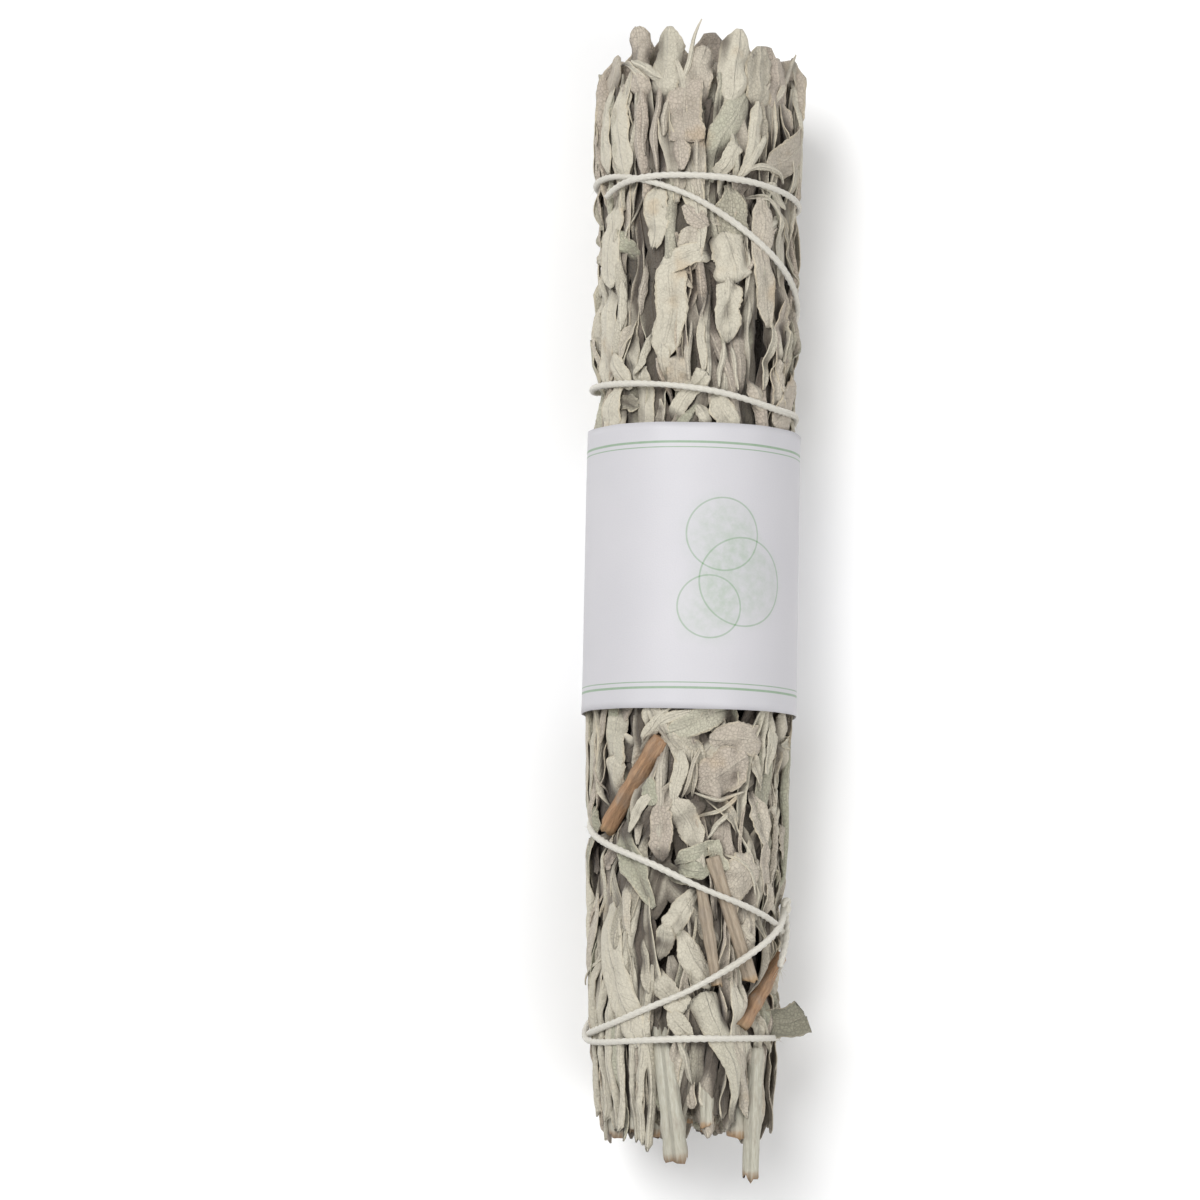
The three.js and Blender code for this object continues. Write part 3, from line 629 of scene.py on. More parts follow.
    ("open", (-6.2, -53.4), (1.6, -56.0), 1.7, 0.45, 0.05, dict(fold=0.6)),
    ("open", (-3.4, -53.2), (4.6, -54.2), 1.7, 0.35, 0.05, {}),
    ("strip", (-3.2, -52.8), (5.6, -48.8), 1.5, 0.45, 0.0, dict(fold=0.3)),
    ("strip", (4.8, -48.2), (7.4, -54.2), 1.5, 0.5, 0.0, SQUARE),
    ("strip", (-18.2, -47), (-17.8, -63), 1.3, 0.65, 0.3, ROOF),
    ("strip", (-13.2, -56), (-11.6, -67), 1.5, 0.6, 0.5, {}),
    ("folded", (-15.4, -45), (-7.4, -60.8), 3.2, 0.4, 0.0, dict(fold=0.7, curl=-0.2, stalk=0.15, blunt=0.5)),
    ("open", (3.4, -56.6), (-4.2, -66.0), 2.4, 1.0, 0.3, dict(fold=-0.2, curl=-0.2, stalk=0.5, blunt=0.08)),
    ("open", (-4.0, -64), (-6.4, -71.6), 2.2, 0.7, 0.3, dict(tear=1.5, crumple=0.35)),
    ("strip", (16.0, -55), (16.6, -63), 1.6, 0.5, 0.6, {}),
    ("stalk", (10.4, -64.0), (14.2, -68.8), 0.8, 0.6, 0.5, {}),
    ("strip", (-10.4, -66), (-8.2, -78), 1.1, 0.6, 0.4, dict(crumple=0.4)),
    ("open", (-2.6, -65), (4.8, -76.6), 2.8, 0.85, 0.35, dict(fold=-0.2, curl=0.2)),
    ("open", (-16.4, -60), (-9.6, -88), 3.5, 0.95, 0.3, FLAT | dict(crumple=0.06)),
    ("open", (-7.6, -75), (-0.2, -81.4), 2.4, 0.8, 0.35, SQUARE),
    ("open", (-4.0, -80.6), (1.2, -87), 2.1, 0.75, 0.35, dict(fold=0.4)),
    ("strip", (-2.2, -86), (1.4, -95.6), 1.3, 0.8, 0.3, ROOF),
    ("folded", (9.5, -86), (12.8, -101.6), 2.2, 0.4, 0.5, {}),
    ("strip", (12.8, -86), (15.0, -99), 1.5, 0.4, 0.5, ROOF),
    ("strip", (15.6, -79), (17.4, -89), 1.3, 0.4, 0.4, ROOF),
    ("folded", (11.4, -104), (3.6, -78.6), 4.0, 0.7, 0.2, dict(fold=-0.5, curl=-0.2, stalk=0.95, blunt=0.03, tear=0.5)),
]
FOOT_STRIPS = [-17.2, -15.6, -13.8, -12.2, -10.5, -8.8, -6.8]  # across, as seen, of long ridged leaves at the foot


def seen_at(x, y):
    """Across and along for what the camera sees at x and y: nearer than the axis, and raised by its tilt."""
    height = np.sqrt(max(0, outline(y) ** 2 - x**2))
    nearer = 1 + (height * np.cos(VIEW_TILT) - y * np.sin(VIEW_TILT)) / 1000 / VIEW_DISTANCE
    side = np.clip(x / nearer / outline(y), -1, 1)
    return LEAF_RADIUS * np.arcsin(side), (y / nearer - height * np.sin(VIEW_TILT)) / np.cos(VIEW_TILT)


def upper_leaf(n, form, stalk_end, tip, half, pale, warm, own):
    """A leaf of the upper side, from its stalk to its tip."""
    across, y = seen_at(*stalk_end)
    tip_across, tip_y = seen_at(*tip)
    length = np.hypot(tip_across - across, tip_y - y)
    heading = np.arctan2(tip_across - across, tip_y - y)
    chosen = dict(across=across, y=y, heading=heading, length=length, half=half, pale=pale, warm=warm)
    flat = dict(roll=0.3 * (draw(n, 2, 95) - 0.5), twist=0.4 * (draw(n, 3, 95) - 0.5), curl=0.7 * draw(n, 4, 95) - 0.2)
    flat = flat | dict(bend=0.2 * (draw(n, 1, 95) - 0.5), tear=0, highest=113, lowest=-106, arch=0.2)
    flat = flat | dict(swell=0.05, ruffle=0.2)
    return leaf_of(form, 20000 + n, **(flat | chosen | own))


def foot_strip(n, x):
    """One of the long ridged leaves side by side at the foot."""
    start, end = -68 - 6 * draw(n, 1, 96), -101.5 - 0.6 * (x + 17.2) - draw(n, 2, 96)
    own = dict(fold=-0.7, curl=-0.4, ruffle=0.3, blunt=0.03, stalk=0.1, lowest=-108.5, tear=1.2)
    return upper_leaf(300 + n, "strip", (x - 0.6, start), (x, end), 1.3 + 0.5 * draw(n, 3, 96), 0.85, 0.35, own)


def laid_order():
    """All leaves that lie on the bundle, the lowest first."""
    sprigs = range(OUTER_SPRIGS)
    order = [paired_leaf(index, n) for n in range(2 * LEAF_PAIRS) for index in sprigs]
    for group, (_, count, _) in enumerate(FILLING):
        order += [filling_leaf(index, group, n) for n in range(count) for index in sprigs]
    order += [end_strip(index, n, foot) for foot in (False, True) for n in range(3) for index in sprigs]
    order += [foot_strip(n, x) for n, x in enumerate(FOOT_STRIPS)]
    order += [upper_leaf(n, *row) for n, row in enumerate(UPPER_LEAVES)]
    return order


laid = [lay(leaf) for leaf in laid_order()]

# The pile is pressed to the bundle's outline: its own top, evened out over about 8 mm, is brought to the
# envelope, so that the order of the leaves is kept, and what still stands out is held back.
PRESS_REACH, SHADE_REACH = 7, 1.6


def evened(values, reach):
    """The fourth-power mean of the map's values over a bell curve that is reach cells wide."""
    steps = [np.minimum(np.arange(n), n - np.arange(n)) for n in values.shape]
    bell = np.exp(-0.5 * (steps[0][:, None] ** 2 + steps[1][None, :] ** 2) / reach**2)
    spread = np.fft.rfft2(values**4) * np.fft.rfft2(bell / bell.sum())
    return np.maximum(0, np.fft.irfft2(spread, s=values.shape)) ** 0.25


evened_top = evened(piled, PRESS_REACH)
near_top = evened(piled, SHADE_REACH)


def pressed(leaf):
    """A laid leaf's points in space, and how much painted shade each gets, from 0 to 1: more where it lies below the
    leaves round it.
    """
    limit = read_map(envelope, leaf["across"], leaf["y"])
    grip = np.clip(read_map(grooved, leaf["across"], leaf["y"]) / 0.6, 0, 1)
    above = leaf["height"] - read_map(evened_top, leaf["across"], leaf["y"])
    proud = 0.7 * (1 - grip) * (1 - banded(leaf["y"])) + 0.05
    sunk = 3.2 * np.expm1(np.minimum(above, 0) / 3.2)
    above = np.where(above > 0, proud * np.tanh(above / (proud + 0.6)), sunk)
    radius = np.maximum(limit + above, 9.5)
    covered = read_map(near_top, leaf["across"], leaf["y"]) - leaf["height"]
    # Painted shade: the further a point lies below the leaves round it, the darker it is painted.
    return polar(angle_at(leaf["across"]), leaf["y"], radius), np.clip(covered / 2.6, 0, 1)


def sprig_at(across, y):
    """The outer sprig that a place on the unrolled bundle belongs to."""
    turns = (-across / LEAF_RADIUS - turned(y)) / TURN
    return int(turns % 1 * OUTER_SPRIGS)


leaf_faces = sheet_faces(ALONG, ACROSS)
sprig_parts = [[] for _ in range(OUTER_SPRIGS + INNER_SPRIGS)]


def add_leaf(sprig, middle, painted_shade, leaf):
    """Puts one leaf's shell in its sprig, with the numbers that its colour and its painted shade are made from."""
    thickness = LEAF_THICKNESS * (1 - 0.45 * t * t) * np.ones_like(s)
    tint = np.stack(
        np.broadcast_arrays(leaf["pale"], leaf["warm"], painted_shade, np.abs(t)), axis=-1
    ) * np.ones((ALONG, ACROSS, 1))
    place = np.stack([leaf["aside"], leaf["length_at"] + 0 * t], axis=-1)
    sprig_parts[sprig].append(
        dict(
            points=shell_points(middle, thickness),
            faces=leaf_faces,
            tint=np.tile(tint.reshape(-1, 4), (2, 1)),
            place=np.tile(place.reshape(-1, 2), (2, 1)),
        )
    )


for leaf in laid:
    middle, painted_shade = pressed(leaf)
    add_leaf(sprig_at(leaf["across"][ALONG // 2, ACROSS // 2], leaf["y"][ALONG // 2, ACROSS // 2]), middle, painted_shade, leaf)

# Loose leaves at both ends. Past the packing the leaf tips stand free at the head, each folded or curled in its
# own way, and at the foot the leaves' cut stalks stand in the bundle's open end round the stems.
TIP_END, STEM_END = 95, -101


def stand(leaf, angle, radius, flare, start, facing):
    """A leaf standing along the bundle: its blade's faces turned by facing, its spine leaning out by flare."""
    across, along, height, aside, length_at = blade(leaf)
    lean = radius + flare * s * s
    side = np.array([np.cos(facing), np.sin(facing)])
    face = np.array([-np.sin(facing), np.cos(facing)])
    x = lean * np.cos(angle) + across * side[0] + height * face[0]
    z = lean * np.sin(angle) + across * side[1] + height * face[1]
    y = start + along
    away = np.hypot(x, z)
    limit = np.minimum(outline(y) + 0.6, on_floor(np.arctan2(z, x), RESTING_DROP - 0.5))
    back = np.minimum(1, limit / np.maximum(away, 1e-6))
    middle = np.stack([x * back, y, z * back], axis=-1)
    return middle, {"aside": aside, "length_at": length_at, "pale": leaf["pale"], "warm": leaf["warm"]}


def add_standing(sprig, leaf, angle, radius, flare, start, facing):
    """Adds a standing leaf to its sprig, with painted shade that grows towards the bundle's middle."""
    middle, tone = stand(leaf, angle, radius, flare, start, facing)
    # Painted shade, stronger the nearer the leaf stands to the bundle's axis.
    add_leaf(sprig, middle, np.clip((15 - radius) / 14, 0, 1), tone)


def end_leaves(index, count, near, far):
    """The loose tips and the cut stalks of one sprig, spread over its share of the two open ends."""
    outer = index < OUTER_SPRIGS
    place = index if outer else index - OUTER_SPRIGS
    share = TURN / (OUTER_SPRIGS if outer else INNER_SPRIGS)
    for n in range(count):
        seed = 9000 + 60 * index + n
        angle = TURN / 4 + (place + draw(seed, 1, 93)) * share + 0.09
        radius = near + draw(seed, 2, 93) * (far - near)
        facing = angle - TURN / 4 + (draw(seed, 3, 93) - 0.5) * (1.6 if outer else 6)
        form = ["strip", "open", "folded"][int(3 * draw(seed, 4, 93))]
        reach = 96 + 6.5 * draw(seed, 5, 93) + (0 if outer else 4.5)
        tip = leaf_of(form, seed, heading=0, length=34, bend=0.3 * (draw(seed, 6, 93) - 0.5), arch=0, tear=0)
        tip["half"] = min(1.15 * tip["half"], 3.9)
        tip["blunt"] = 0.09 + 0.12 * draw(seed, 9, 93)
        tip["roll"], tip["twist"] = 0.5 * tip["roll"], 0.5 * tip["twist"]
        flare = 2.4 * draw(seed, 7, 93) if outer else 0.8
        add_standing(index, tip, angle, radius, flare, reach - 34, facing)
        stalk = leaf_of("strip", seed + 30, heading=0, length=26, bend=0, tear=0, stalk=0.02, arch=0, lift=0)
        stalk["half"] = 0.65 * stalk["half"]
        add_standing(index, stalk, angle - 0.25, 0.86 * radius, 1.5, -106 + 7 * draw(seed, 8, 93), facing)


for index in range(OUTER_SPRIGS):
    end_leaves(index, 6, 9.5, 16.5)
for index in range(OUTER_SPRIGS, OUTER_SPRIGS + INNER_SPRIGS):
    end_leaves(index, 7, 1.5, 9)

# Broad leaves that stand up in the middle of the head and close it behind the front ones. Each row: across,
# height over the axis, how far along it reaches, half width, and how pale it is.
HEAD_LEAVES = [
    (-16.0, 5.0, 103.6, 4.6, 0.3),
    (-11.0, 8.0, 107.0, 4.6, 0.15),
    (-5.0, 7.0, 108.0, 5.2, 0.3),
    (1.0, 8.0, 108.8, 5.6, 0.2),
    (6.5, 6.0, 107.0, 5.2, 0.25),
    (11.5, 7.0, 106.6, 5.0, 0.15),
    (16.2, 4.0, 104.6, 4.6, 0.3),
]
for n, (x, height, reach, half, pale) in enumerate(HEAD_LEAVES):
    angle = np.arctan2(height, x)
    sprig = int((angle / TURN - 0.25) % 1 * OUTER_SPRIGS)
    own = dict(heading=0, length=34, half=half, blunt=0.2, bend=0, arch=0, tear=0, roll=0, twist=0, pale=pale, warm=0.9)
    head_leaf = leaf_of("open", 25000 + n, **own, crumple=0.3)
    add_standing(sprig, head_leaf, angle, np.hypot(x, height), 1.0, reach - 34, 0.25 * (draw(n, 1, 97) - 0.5))

# One broad leaf has slipped out level at the right-hand side, near the foot.
SLIPPED_SPRIG, SLIPPED_HEIGHT = 9, 4.5
SLIPPED_ROOT, SLIPPED_TIP, SLIPPED_HALF = np.array([10.0, -84.0]), np.array([23.0, -81.8]), 3.6
slipped = leaf_of(
    "open",
    24000,
    heading=np.arctan2(*(SLIPPED_TIP - SLIPPED_ROOT)),
    length=np.linalg.norm(SLIPPED_TIP - SLIPPED_ROOT),
    half=SLIPPED_HALF,
    blunt=0.03,
    stalk=0.35,
    fold=0.1,
    roll=0,
    twist=0,
    tear=0.6,
    swell=0.03,
    ruffle=0.15,
    pale=0.0,
    warm=0.15,
)
across, along, height, aside, length_at = blade(slipped)
middle = np.stack([SLIPPED_ROOT[0] + across, SLIPPED_ROOT[1] + along, SLIPPED_HEIGHT + height], axis=-1)
# Half-strength painted shade on the slipped leaf.
add_leaf(SLIPPED_SPRIG, middle, 0.5, {**leaf_tone(slipped), "aside": aside, "length_at": length_at})

# The imported heart of each sprig: the stems and crushed leaves that the others lie on, seen only as the dark
# ground of the gaps between them. Its colour is painted shade at full strength, so it shows near black.
HEART_RINGS, HEART_SIDES = 60, 20


def tube_faces(rings, sides):
    """Quads round a closed tube and one many-sided face over each end."""
    index = np.arange(rings * sides).reshape(rings, sides)
    following = np.roll(index, -1, axis=1)
    quads = np.stack([index[:-1], following[:-1], following[1:], index[1:]], axis=-1).reshape(-1, 4)
    return [quads, index[:1, ::-1], index[-1:]]


def heart(index):
    """A wedge along the bundle: its outer arc crumpled, its inner arc plain, both inside the sprig's share."""
    outer = index < OUTER_SPRIGS
    place = index if outer else index - OUTER_SPRIGS
    share = TURN / (OUTER_SPRIGS if outer else INNER_SPRIGS)
    y = np.linspace(STEM_END + 3, TIP_END - 1, HEART_RINGS)[:, None]
    middle = TURN / 4 + (place + 0.5) * share + turned(y)
    far = np.linspace(0.49, -0.49, HEART_SIDES - 4)[None, :] * share
    near = np.linspace(-0.46, 0.46, 4)[None, :] * share
    crumpled = 1 - 0.12 * uneven(3.1 * far * LEAF_RADIUS + 40 * index, 2.3 * y, 6)
    slimmer = 1 - 0.3 * smooth(-y, 84, 97)
    outside = polar(middle + far, y, (14.6 if outer else 9.2) * crumpled * slimmer)
    inside = polar(middle + near, y, (9.4 if outer else 1.2) * slimmer + 0 * near)
    return np.concatenate([outside, inside], axis=1)


for index in range(OUTER_SPRIGS + INNER_SPRIGS):
    rings = heart(index)
    count = rings.shape[0] * rings.shape[1]
    quads, first, last = tube_faces(*rings.shape[:2])
    sprig_parts[index].append(
        dict(
            points=rings.reshape(-1, 3),
            faces=quads,
            ends=[first, last],
            # Full painted shade: the heart is painted near black as the shade in the gaps.
            tint=np.tile([0.2, 0.8, 1.0, 0.5], (count, 1)),
            place=rings.reshape(-1, 3)[:, :2],
        )
    )


class Shade:
    """A socket of a material's nodes. Arithmetic on it adds Math nodes, and add() adds a node of any kind."""

    def __init__(self, tree, socket=None):
        self.tree = tree
        self.socket = socket

    def add(self, kind, settings=None, inputs=None, output=0):
        """A new node with its settings set first, then its sockets given values or links; one output of it."""
        node = self.tree.nodes.new(kind)
        for name, value in (settings or {}).items():
            if name == "stops":
                for position, colour in value[2:]:
                    node.color_ramp.elements.new(position)
                for element, (position, colour) in zip(node.color_ramp.elements, value):
                    element.position, element.color = position, colour
            else:
                setattr(node, name, value)
        for name, value in (inputs or {}).items():
            if isinstance(value, Shade):
                self.tree.links.new(value.socket, node.inputs[name])
            else:
                node.inputs[name].default_value = value
        return Shade(self.tree, node.outputs[output])

    def maths(self, operation, first, second=0.0, third=0.0):
        return self.add("ShaderNodeMath", {"operation": operation}, {0: first, 1: second, 2: third})

    def __add__(self, other):
        return self.maths("ADD", self, other)

    __radd__ = __add__

    def __sub__(self, other):
        return self.maths("SUBTRACT", self, other)

    def __rsub__(self, other):
        return self.maths("SUBTRACT", other, self)

    def __mul__(self, other):
        return self.maths("MULTIPLY", self, other)

    __rmul__ = __mul__

    def __truediv__(self, other):
        return self.maths("DIVIDE", self, other)

    def __abs__(self):
        return self.maths("ABSOLUTE", self)

    def between(self, low, high):
        """0 at low, 1 at high, and an S-curve between them."""
        settings = {"interpolation_type": "SMOOTHSTEP"}
        return self.add("ShaderNodeMapRange", settings, {"Value": self, "From Min": low, "From Max": high})

    def mixed(self, first, second, blend="MIX"):
        """A colour between two colours, by this value."""
        settings = {"data_type": "RGBA", "blend_type": blend, "clamp_factor": True}
        return self.add("ShaderNodeMix", settings, {0: self, 6: first, 7: second}, 2)

    def noise(self, place, scale, detail=3.0, roughness=0.55):
        inputs = {"Vector": place, "Scale": scale, "Detail": detail, "Roughness": roughness}
        return self.add("ShaderNodeTexNoise", None, inputs)


def new_material(name, **fixed):
    """A material with its shader's fixed sockets set, as (material, shader, start of its node maths)."""
    material = bpy.data.materials.new(name)
    material.use_nodes = True
    shader = material.node_tree.nodes["Principled BSDF"]
    for socket, value in fixed.items():
        shader.inputs[socket.replace("_", " ")].default_value = value
    return material, shader, Shade(material.node_tree)


def connect(shader, **shades):
    """Links node maths to the shader's sockets by name."""
    for socket, shade in shades.items():
        shade.tree.links.new(shade.socket, shader.inputs[socket.replace("_", " ")])


# Dried leaf: greyish green to taupe, paler where the felt is whole, with a fine net of veins, a paler midrib,
# yellowed margins, and painted shade, dark brown to near black, where a face lies below its neighbours or deep in the
# bundle.
leaf_material, shader, start = new_material("dried_sage_leaf", Sheen_Weight=0.12, Sheen_Roughness=0.6)
place = start.add("ShaderNodeUVMap", {"uv_map": "leaf"})
object_place = start.add("ShaderNodeTexCoord", None, None, 3)
tint = start.add("ShaderNodeAttribute", {"attribute_name": "tint"})
tint_parts = start.add("ShaderNodeSeparateColor", None, {0: tint})
pale = tint_parts
warm = Shade(start.tree, tint_parts.socket.node.outputs[1])
painted_shade = Shade(start.tree, tint_parts.socket.node.outputs[2])
margin = Shade(start.tree, tint.socket.node.outputs["Alpha"])
place_parts = start.add("ShaderNodeSeparateXYZ", None, {0: place})
aside = abs(place_parts)
along = Shade(start.tree, place_parts.socket.node.outputs[1])
blotch = start.noise(object_place, 140.0, 4.0)
speck = start.noise(object_place, 900.0, 3.0)
wrinkle = start.noise(object_place, 420.0, 4.0, 0.6)
stretched = start.add("ShaderNodeMapping", None, {"Vector": place, "Scale": (1.5, 0.13, 1.0)})
streak = start.noise(stretched, 1.0, 4.0, 0.6)
net = start.add("ShaderNodeTexVoronoi", {"feature": "DISTANCE_TO_EDGE"}, {"Vector": place, "Scale": 1.5})
vein_net = 1 - net.between(0.0, 0.13)
rank = (along - aside * 1.1) * 0.36 + speck * 0.1
side_vein = 1 - abs(rank.maths("FRACT", rank) - 0.5).between(0.0, 0.09)
midrib = 1 - aside.between(0.12, 0.42)
body = warm.between(0.0, 0.7).mixed((0.39, 0.393, 0.29, 1), (0.485, 0.415, 0.345, 1))
body = (pale * 0.95 + blotch * 0.5 - 0.32).between(0.0, 0.85).mixed(body, (0.58, 0.54, 0.44, 1))
body = ((side_vein * 0.5 + midrib) * 0.2).mixed(body, (0.62, 0.57, 0.455, 1))
body = (vein_net * (0.40 - pale * 0.26)).mixed(body, (0.23, 0.205, 0.15, 1))
body = (streak.between(0.52, 0.75) * 0.34).mixed(body, (0.34, 0.295, 0.225, 1))
body = (margin.between(0.8, 1.0) * blotch.between(0.3, 0.7) * 0.6).mixed(body, (0.61, 0.50, 0.32, 1))
body = (margin.between(0.9, 1.0) * 0.35).mixed(body, (0.63, 0.585, 0.475, 1))
stain = start.noise(object_place, 75.0, 3.0)
body = (stain.between(0.6, 0.72) * 0.4).mixed(body, (0.48, 0.34, 0.19, 1))
body = (blotch.between(0.6, 0.8) * 0.35).mixed(body, (0.32, 0.26, 0.20, 1))
# Painted shade: faces below their neighbours, deep in the bundle or in the heart are mixed towards near black.
body = (painted_shade.between(0.08, 0.9) * 0.88).mixed(body, (0.07, 0.052, 0.038, 1))
felt = speck * 0.4 + vein_net * (pale * 0.2 - 0.28) + side_vein * 0.16 + midrib * 0.5 + wrinkle * 1.9 + streak * 0.9
bump = start.add("ShaderNodeBump", None, {"Strength": 0.9, "Distance": 0.0005, "Height": felt})
connect(shader, Base_Color=body, Normal=bump, Roughness=0.8 + speck * 0.15)


def make_piece(name, parts, material, tint=None, place=None):
    """A Blender mesh of one or more parts' points, moved from the bundle's axis to the frame, in metres.

    What would reach below the surface that the bundle lies on is pressed flat on it.
    """
    points = AXIS + np.concatenate([part["points"] for part in parts]) / 1000
    points[:, 2] = np.maximum(points[:, 2], 0)
    shift = np.cumsum([0] + [len(part["points"]) for part in parts])
    faces = []
    for part, first in zip(parts, shift):
        faces += [part["faces"] + first] + [end + first for end in part.get("ends", [])]
    corners = np.concatenate([face.ravel() for face in faces])
    sizes = np.concatenate([np.full(len(face), face.shape[1]) for face in faces])
    mesh = bpy.data.meshes.new(name)
    mesh.vertices.add(len(points))
    mesh.vertices.foreach_set("co", points.ravel())
    mesh.loops.add(len(corners))
    mesh.loops.foreach_set("vertex_index", corners)
    mesh.polygons.add(len(sizes))
    mesh.polygons.foreach_set("loop_start", np.concatenate([[0], np.cumsum(sizes)[:-1]]))
    mesh.polygons.foreach_set("use_smooth", np.ones(len(sizes), dtype=bool))
    if tint:
        values = np.concatenate([part["tint"] for part in parts])
        mesh.attributes.new(tint, "FLOAT_COLOR", "POINT").data.foreach_set("color", values.ravel())
    if place:
        values = np.concatenate([part["place"] for part in parts])
        mesh.uv_layers.new(name=place).data.foreach_set("uv", values[corners].ravel())
    mesh.update(calc_edges=True)
    mesh.validate()
    mesh.materials.append(material)
    piece = bpy.data.objects.new(name, mesh)
    bpy.context.scene.collection.objects.link(piece)
    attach(piece, "root")
    return piece


for index, parts in enumerate(sprig_parts):
    number = f"{index + 1:02d}"
    sprig = make_piece(f"dried_sprig_{number}", parts, leaf_material, tint="tint", place="leaf")
    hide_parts(f"sage_sprig_{number}")

# The stems. Each sprig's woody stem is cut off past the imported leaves: pale felted bark, with a torn and
# splintered end of orange-brown wood. Two more stems lie at the surface on the upper side, near the foot.
STEM_RINGS, STEM_SIDES = 46, 18


def tube(path, radius, reference):
    """Rings of points round a path: each ring's first point lies towards the reference direction."""
    along = np.gradient(path, axis=0)
    along = along / np.linalg.norm(along, axis=1, keepdims=True)
    first = reference - np.sum(reference * along, axis=1, keepdims=True) * along
    first = first / np.linalg.norm(first, axis=1, keepdims=True)
    second = np.cross(along, first)
    turn = np.arange(radius.shape[1]) / radius.shape[1] * TURN
    round_it = np.cos(turn)[None, :, None] * first[:, None] + np.sin(turn)[None, :, None] * second[:, None]
    return path[:, None] + radius[..., None] * round_it


def tube_part(rings, tint, place):
    """A closed tube's points and faces, with its colour numbers and its place in millimetres."""
    quads, first, last = tube_faces(*rings.shape[:2])
    return dict(
        points=rings.reshape(-1, 3), faces=quads, ends=[first, last], tint=tint.reshape(-1, 4), place=place.reshape(-1, 2)
    )


def stem(seed, cut, end, thickness, bow):
    """A stem from its cut to its other end: ribbed, swollen at its joints, bowed, and ragged at the cut."""
    share = np.linspace(0, 1, STEM_RINGS)[:, None]
    length = np.linalg.norm(end - cut)
    path = bowed(cut, end, bow, STEM_RINGS)
    turn = np.arange(STEM_SIDES)[None, :] / STEM_SIDES * TURN
    joints = sum(np.exp(-(((share - draw(seed, k, 61)) * length / 1.6) ** 2)) for k in range(3))
    ribs = 0.06 * np.sin(4 * turn + 6 * draw(seed, 4, 61)) + 0.05 * np.sin(7 * turn + 9 * share)
    rings = tube(path, thickness * (1 + 0.16 * joints + ribs), np.tile([0.0, 0.0, 1.0], (STEM_RINGS, 1)))
    splinter = np.random.default_rng(seed).normal(0, 0.55, STEM_SIDES) + 0.9 * np.sin(turn[0] + TURN * draw(seed, 5, 61))
    rings[0] = rings[0] + np.outer(splinter * thickness * 0.45, (end - cut) / length)
    tint = np.stack(np.broadcast_arrays(draw(seed, 6, 61), 1 - smooth(share * length, 0.0, 1.1), joints, share), axis=-1)
    place = np.stack(np.broadcast_arrays(turn * thickness, share * length), axis=-1)
    return tube_part(rings, tint * np.ones((STEM_RINGS, STEM_SIDES, 1)), place)


def sprig_stem(index):
    """The stem of one sprig, where the solid sprig has it."""
    outer = index < OUTER_SPRIGS
    place = index if outer else index - OUTER_SPRIGS
    angle = TURN / 4 + (place + 0.5) / (OUTER_SPRIGS if outer else INNER_SPRIGS) * TURN + turned(STEM_END)
    from_axis = 13.2 if outer else 5.2
    cut = -105.5 + 3.5 * draw(index, 0, 51)
    thickness = 1.2 + 0.5 * draw(index, 0, 52)
    return stem(500 + index, polar(angle, cut, from_axis), polar(angle, STEM_END + 18.0, from_axis), thickness, 0)


stem_parts = [sprig_stem(index) for index in range(OUTER_SPRIGS + INNER_SPRIGS)]
for n, row in enumerate(SURFACE_STEMS):
    stem_parts.append(stem(540 + n, np.array(row["cut"]), np.array(row["end"]), row["thickness"], row["bow"]))


def bark(name, young, old, inner):
    """Bark with long streaks, grey scuffs at the joints, and fibrous bare wood at the cut."""
    material, shader, start = new_material(name)
    place = start.add("ShaderNodeUVMap", {"uv_map": "bark"})
    tint = start.add("ShaderNodeAttribute", {"attribute_name": "tint"})
    parts = start.add("ShaderNodeSeparateColor", None, {0: tint})
    own = parts
    cut = Shade(start.tree, parts.socket.node.outputs[1])
    joint = Shade(start.tree, parts.socket.node.outputs[2])
    stretched = start.add("ShaderNodeMapping", None, {"Vector": place, "Scale": (1.0, 0.16, 1.0)})
    streak = start.noise(stretched, 2.4, 5.0, 0.65)
    patch = start.noise(place, 0.22, 3.0)
    colour = streak.between(0.32, 0.68).mixed(young, old)
    colour = (patch.between(0.5, 0.72) * 0.55 + joint * 0.2).mixed(colour, (0.30, 0.25, 0.20, 1))
    wood = (own * 0.75).mixed(inner, (0.17, 0.12, 0.085, 1))
    colour = (cut * streak.between(0.2, 0.55)).mixed(colour, wood)
    height = streak + patch * 0.4
    bump = start.add("ShaderNodeBump", None, {"Strength": 0.7, "Distance": 0.0005, "Height": height})
    connect(shader, Base_Color=colour, Normal=bump, Roughness=0.7 + streak * 0.2)
    return material


STEM_BARK = bark("felted_stem_bark", (0.53, 0.52, 0.44, 1), (0.42, 0.395, 0.315, 1), (0.40, 0.24, 0.12, 1))
stems = make_piece("cut_stems", stem_parts, STEM_BARK, tint="tint", place="bark")

# Bare side twigs on the upper side, that have lost their leaves: smooth orange-brown bark, one end snapped.
# They are held under the string.
OLD_BARK = bark("bare_twig_bark", (0.44, 0.265, 0.145, 1), (0.29, 0.165, 0.09, 1), (0.55, 0.36, 0.18, 1))
YOUNG_BARK = bark("young_twig_bark", (0.44, 0.37, 0.28, 1), (0.32, 0.25, 0.18, 1), (0.50, 0.33, 0.17, 1))

for n, row in enumerate(TWIGS):
    part = stem(560 + n, *twig_ends(row), row["thickness"], 0.3)
    twig_bark = YOUNG_BARK if row["young"] else OLD_BARK
    twig = make_piece(f"woody_twig_{n + 1}", [part], twig_bark, tint="tint", place="bark")
    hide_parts(f"bare_twig_{n + 1}")

# The cotton string: three soft plies twisted to 1.3 mm, wound tight and tied at the right-hand side in a knot
# with a short frayed tail. Fine fibres stand off it.
STRING_SIDES, PLY_PITCH = 12, 4.6
TAIL_ROUTE = np.array([[3, -60, 0], [8, -63, 0.6], [12, -66, 1.4], [15, -69, 0.8], [17, -72.5, 0.1]])
KNOT_SIZE = 0.4


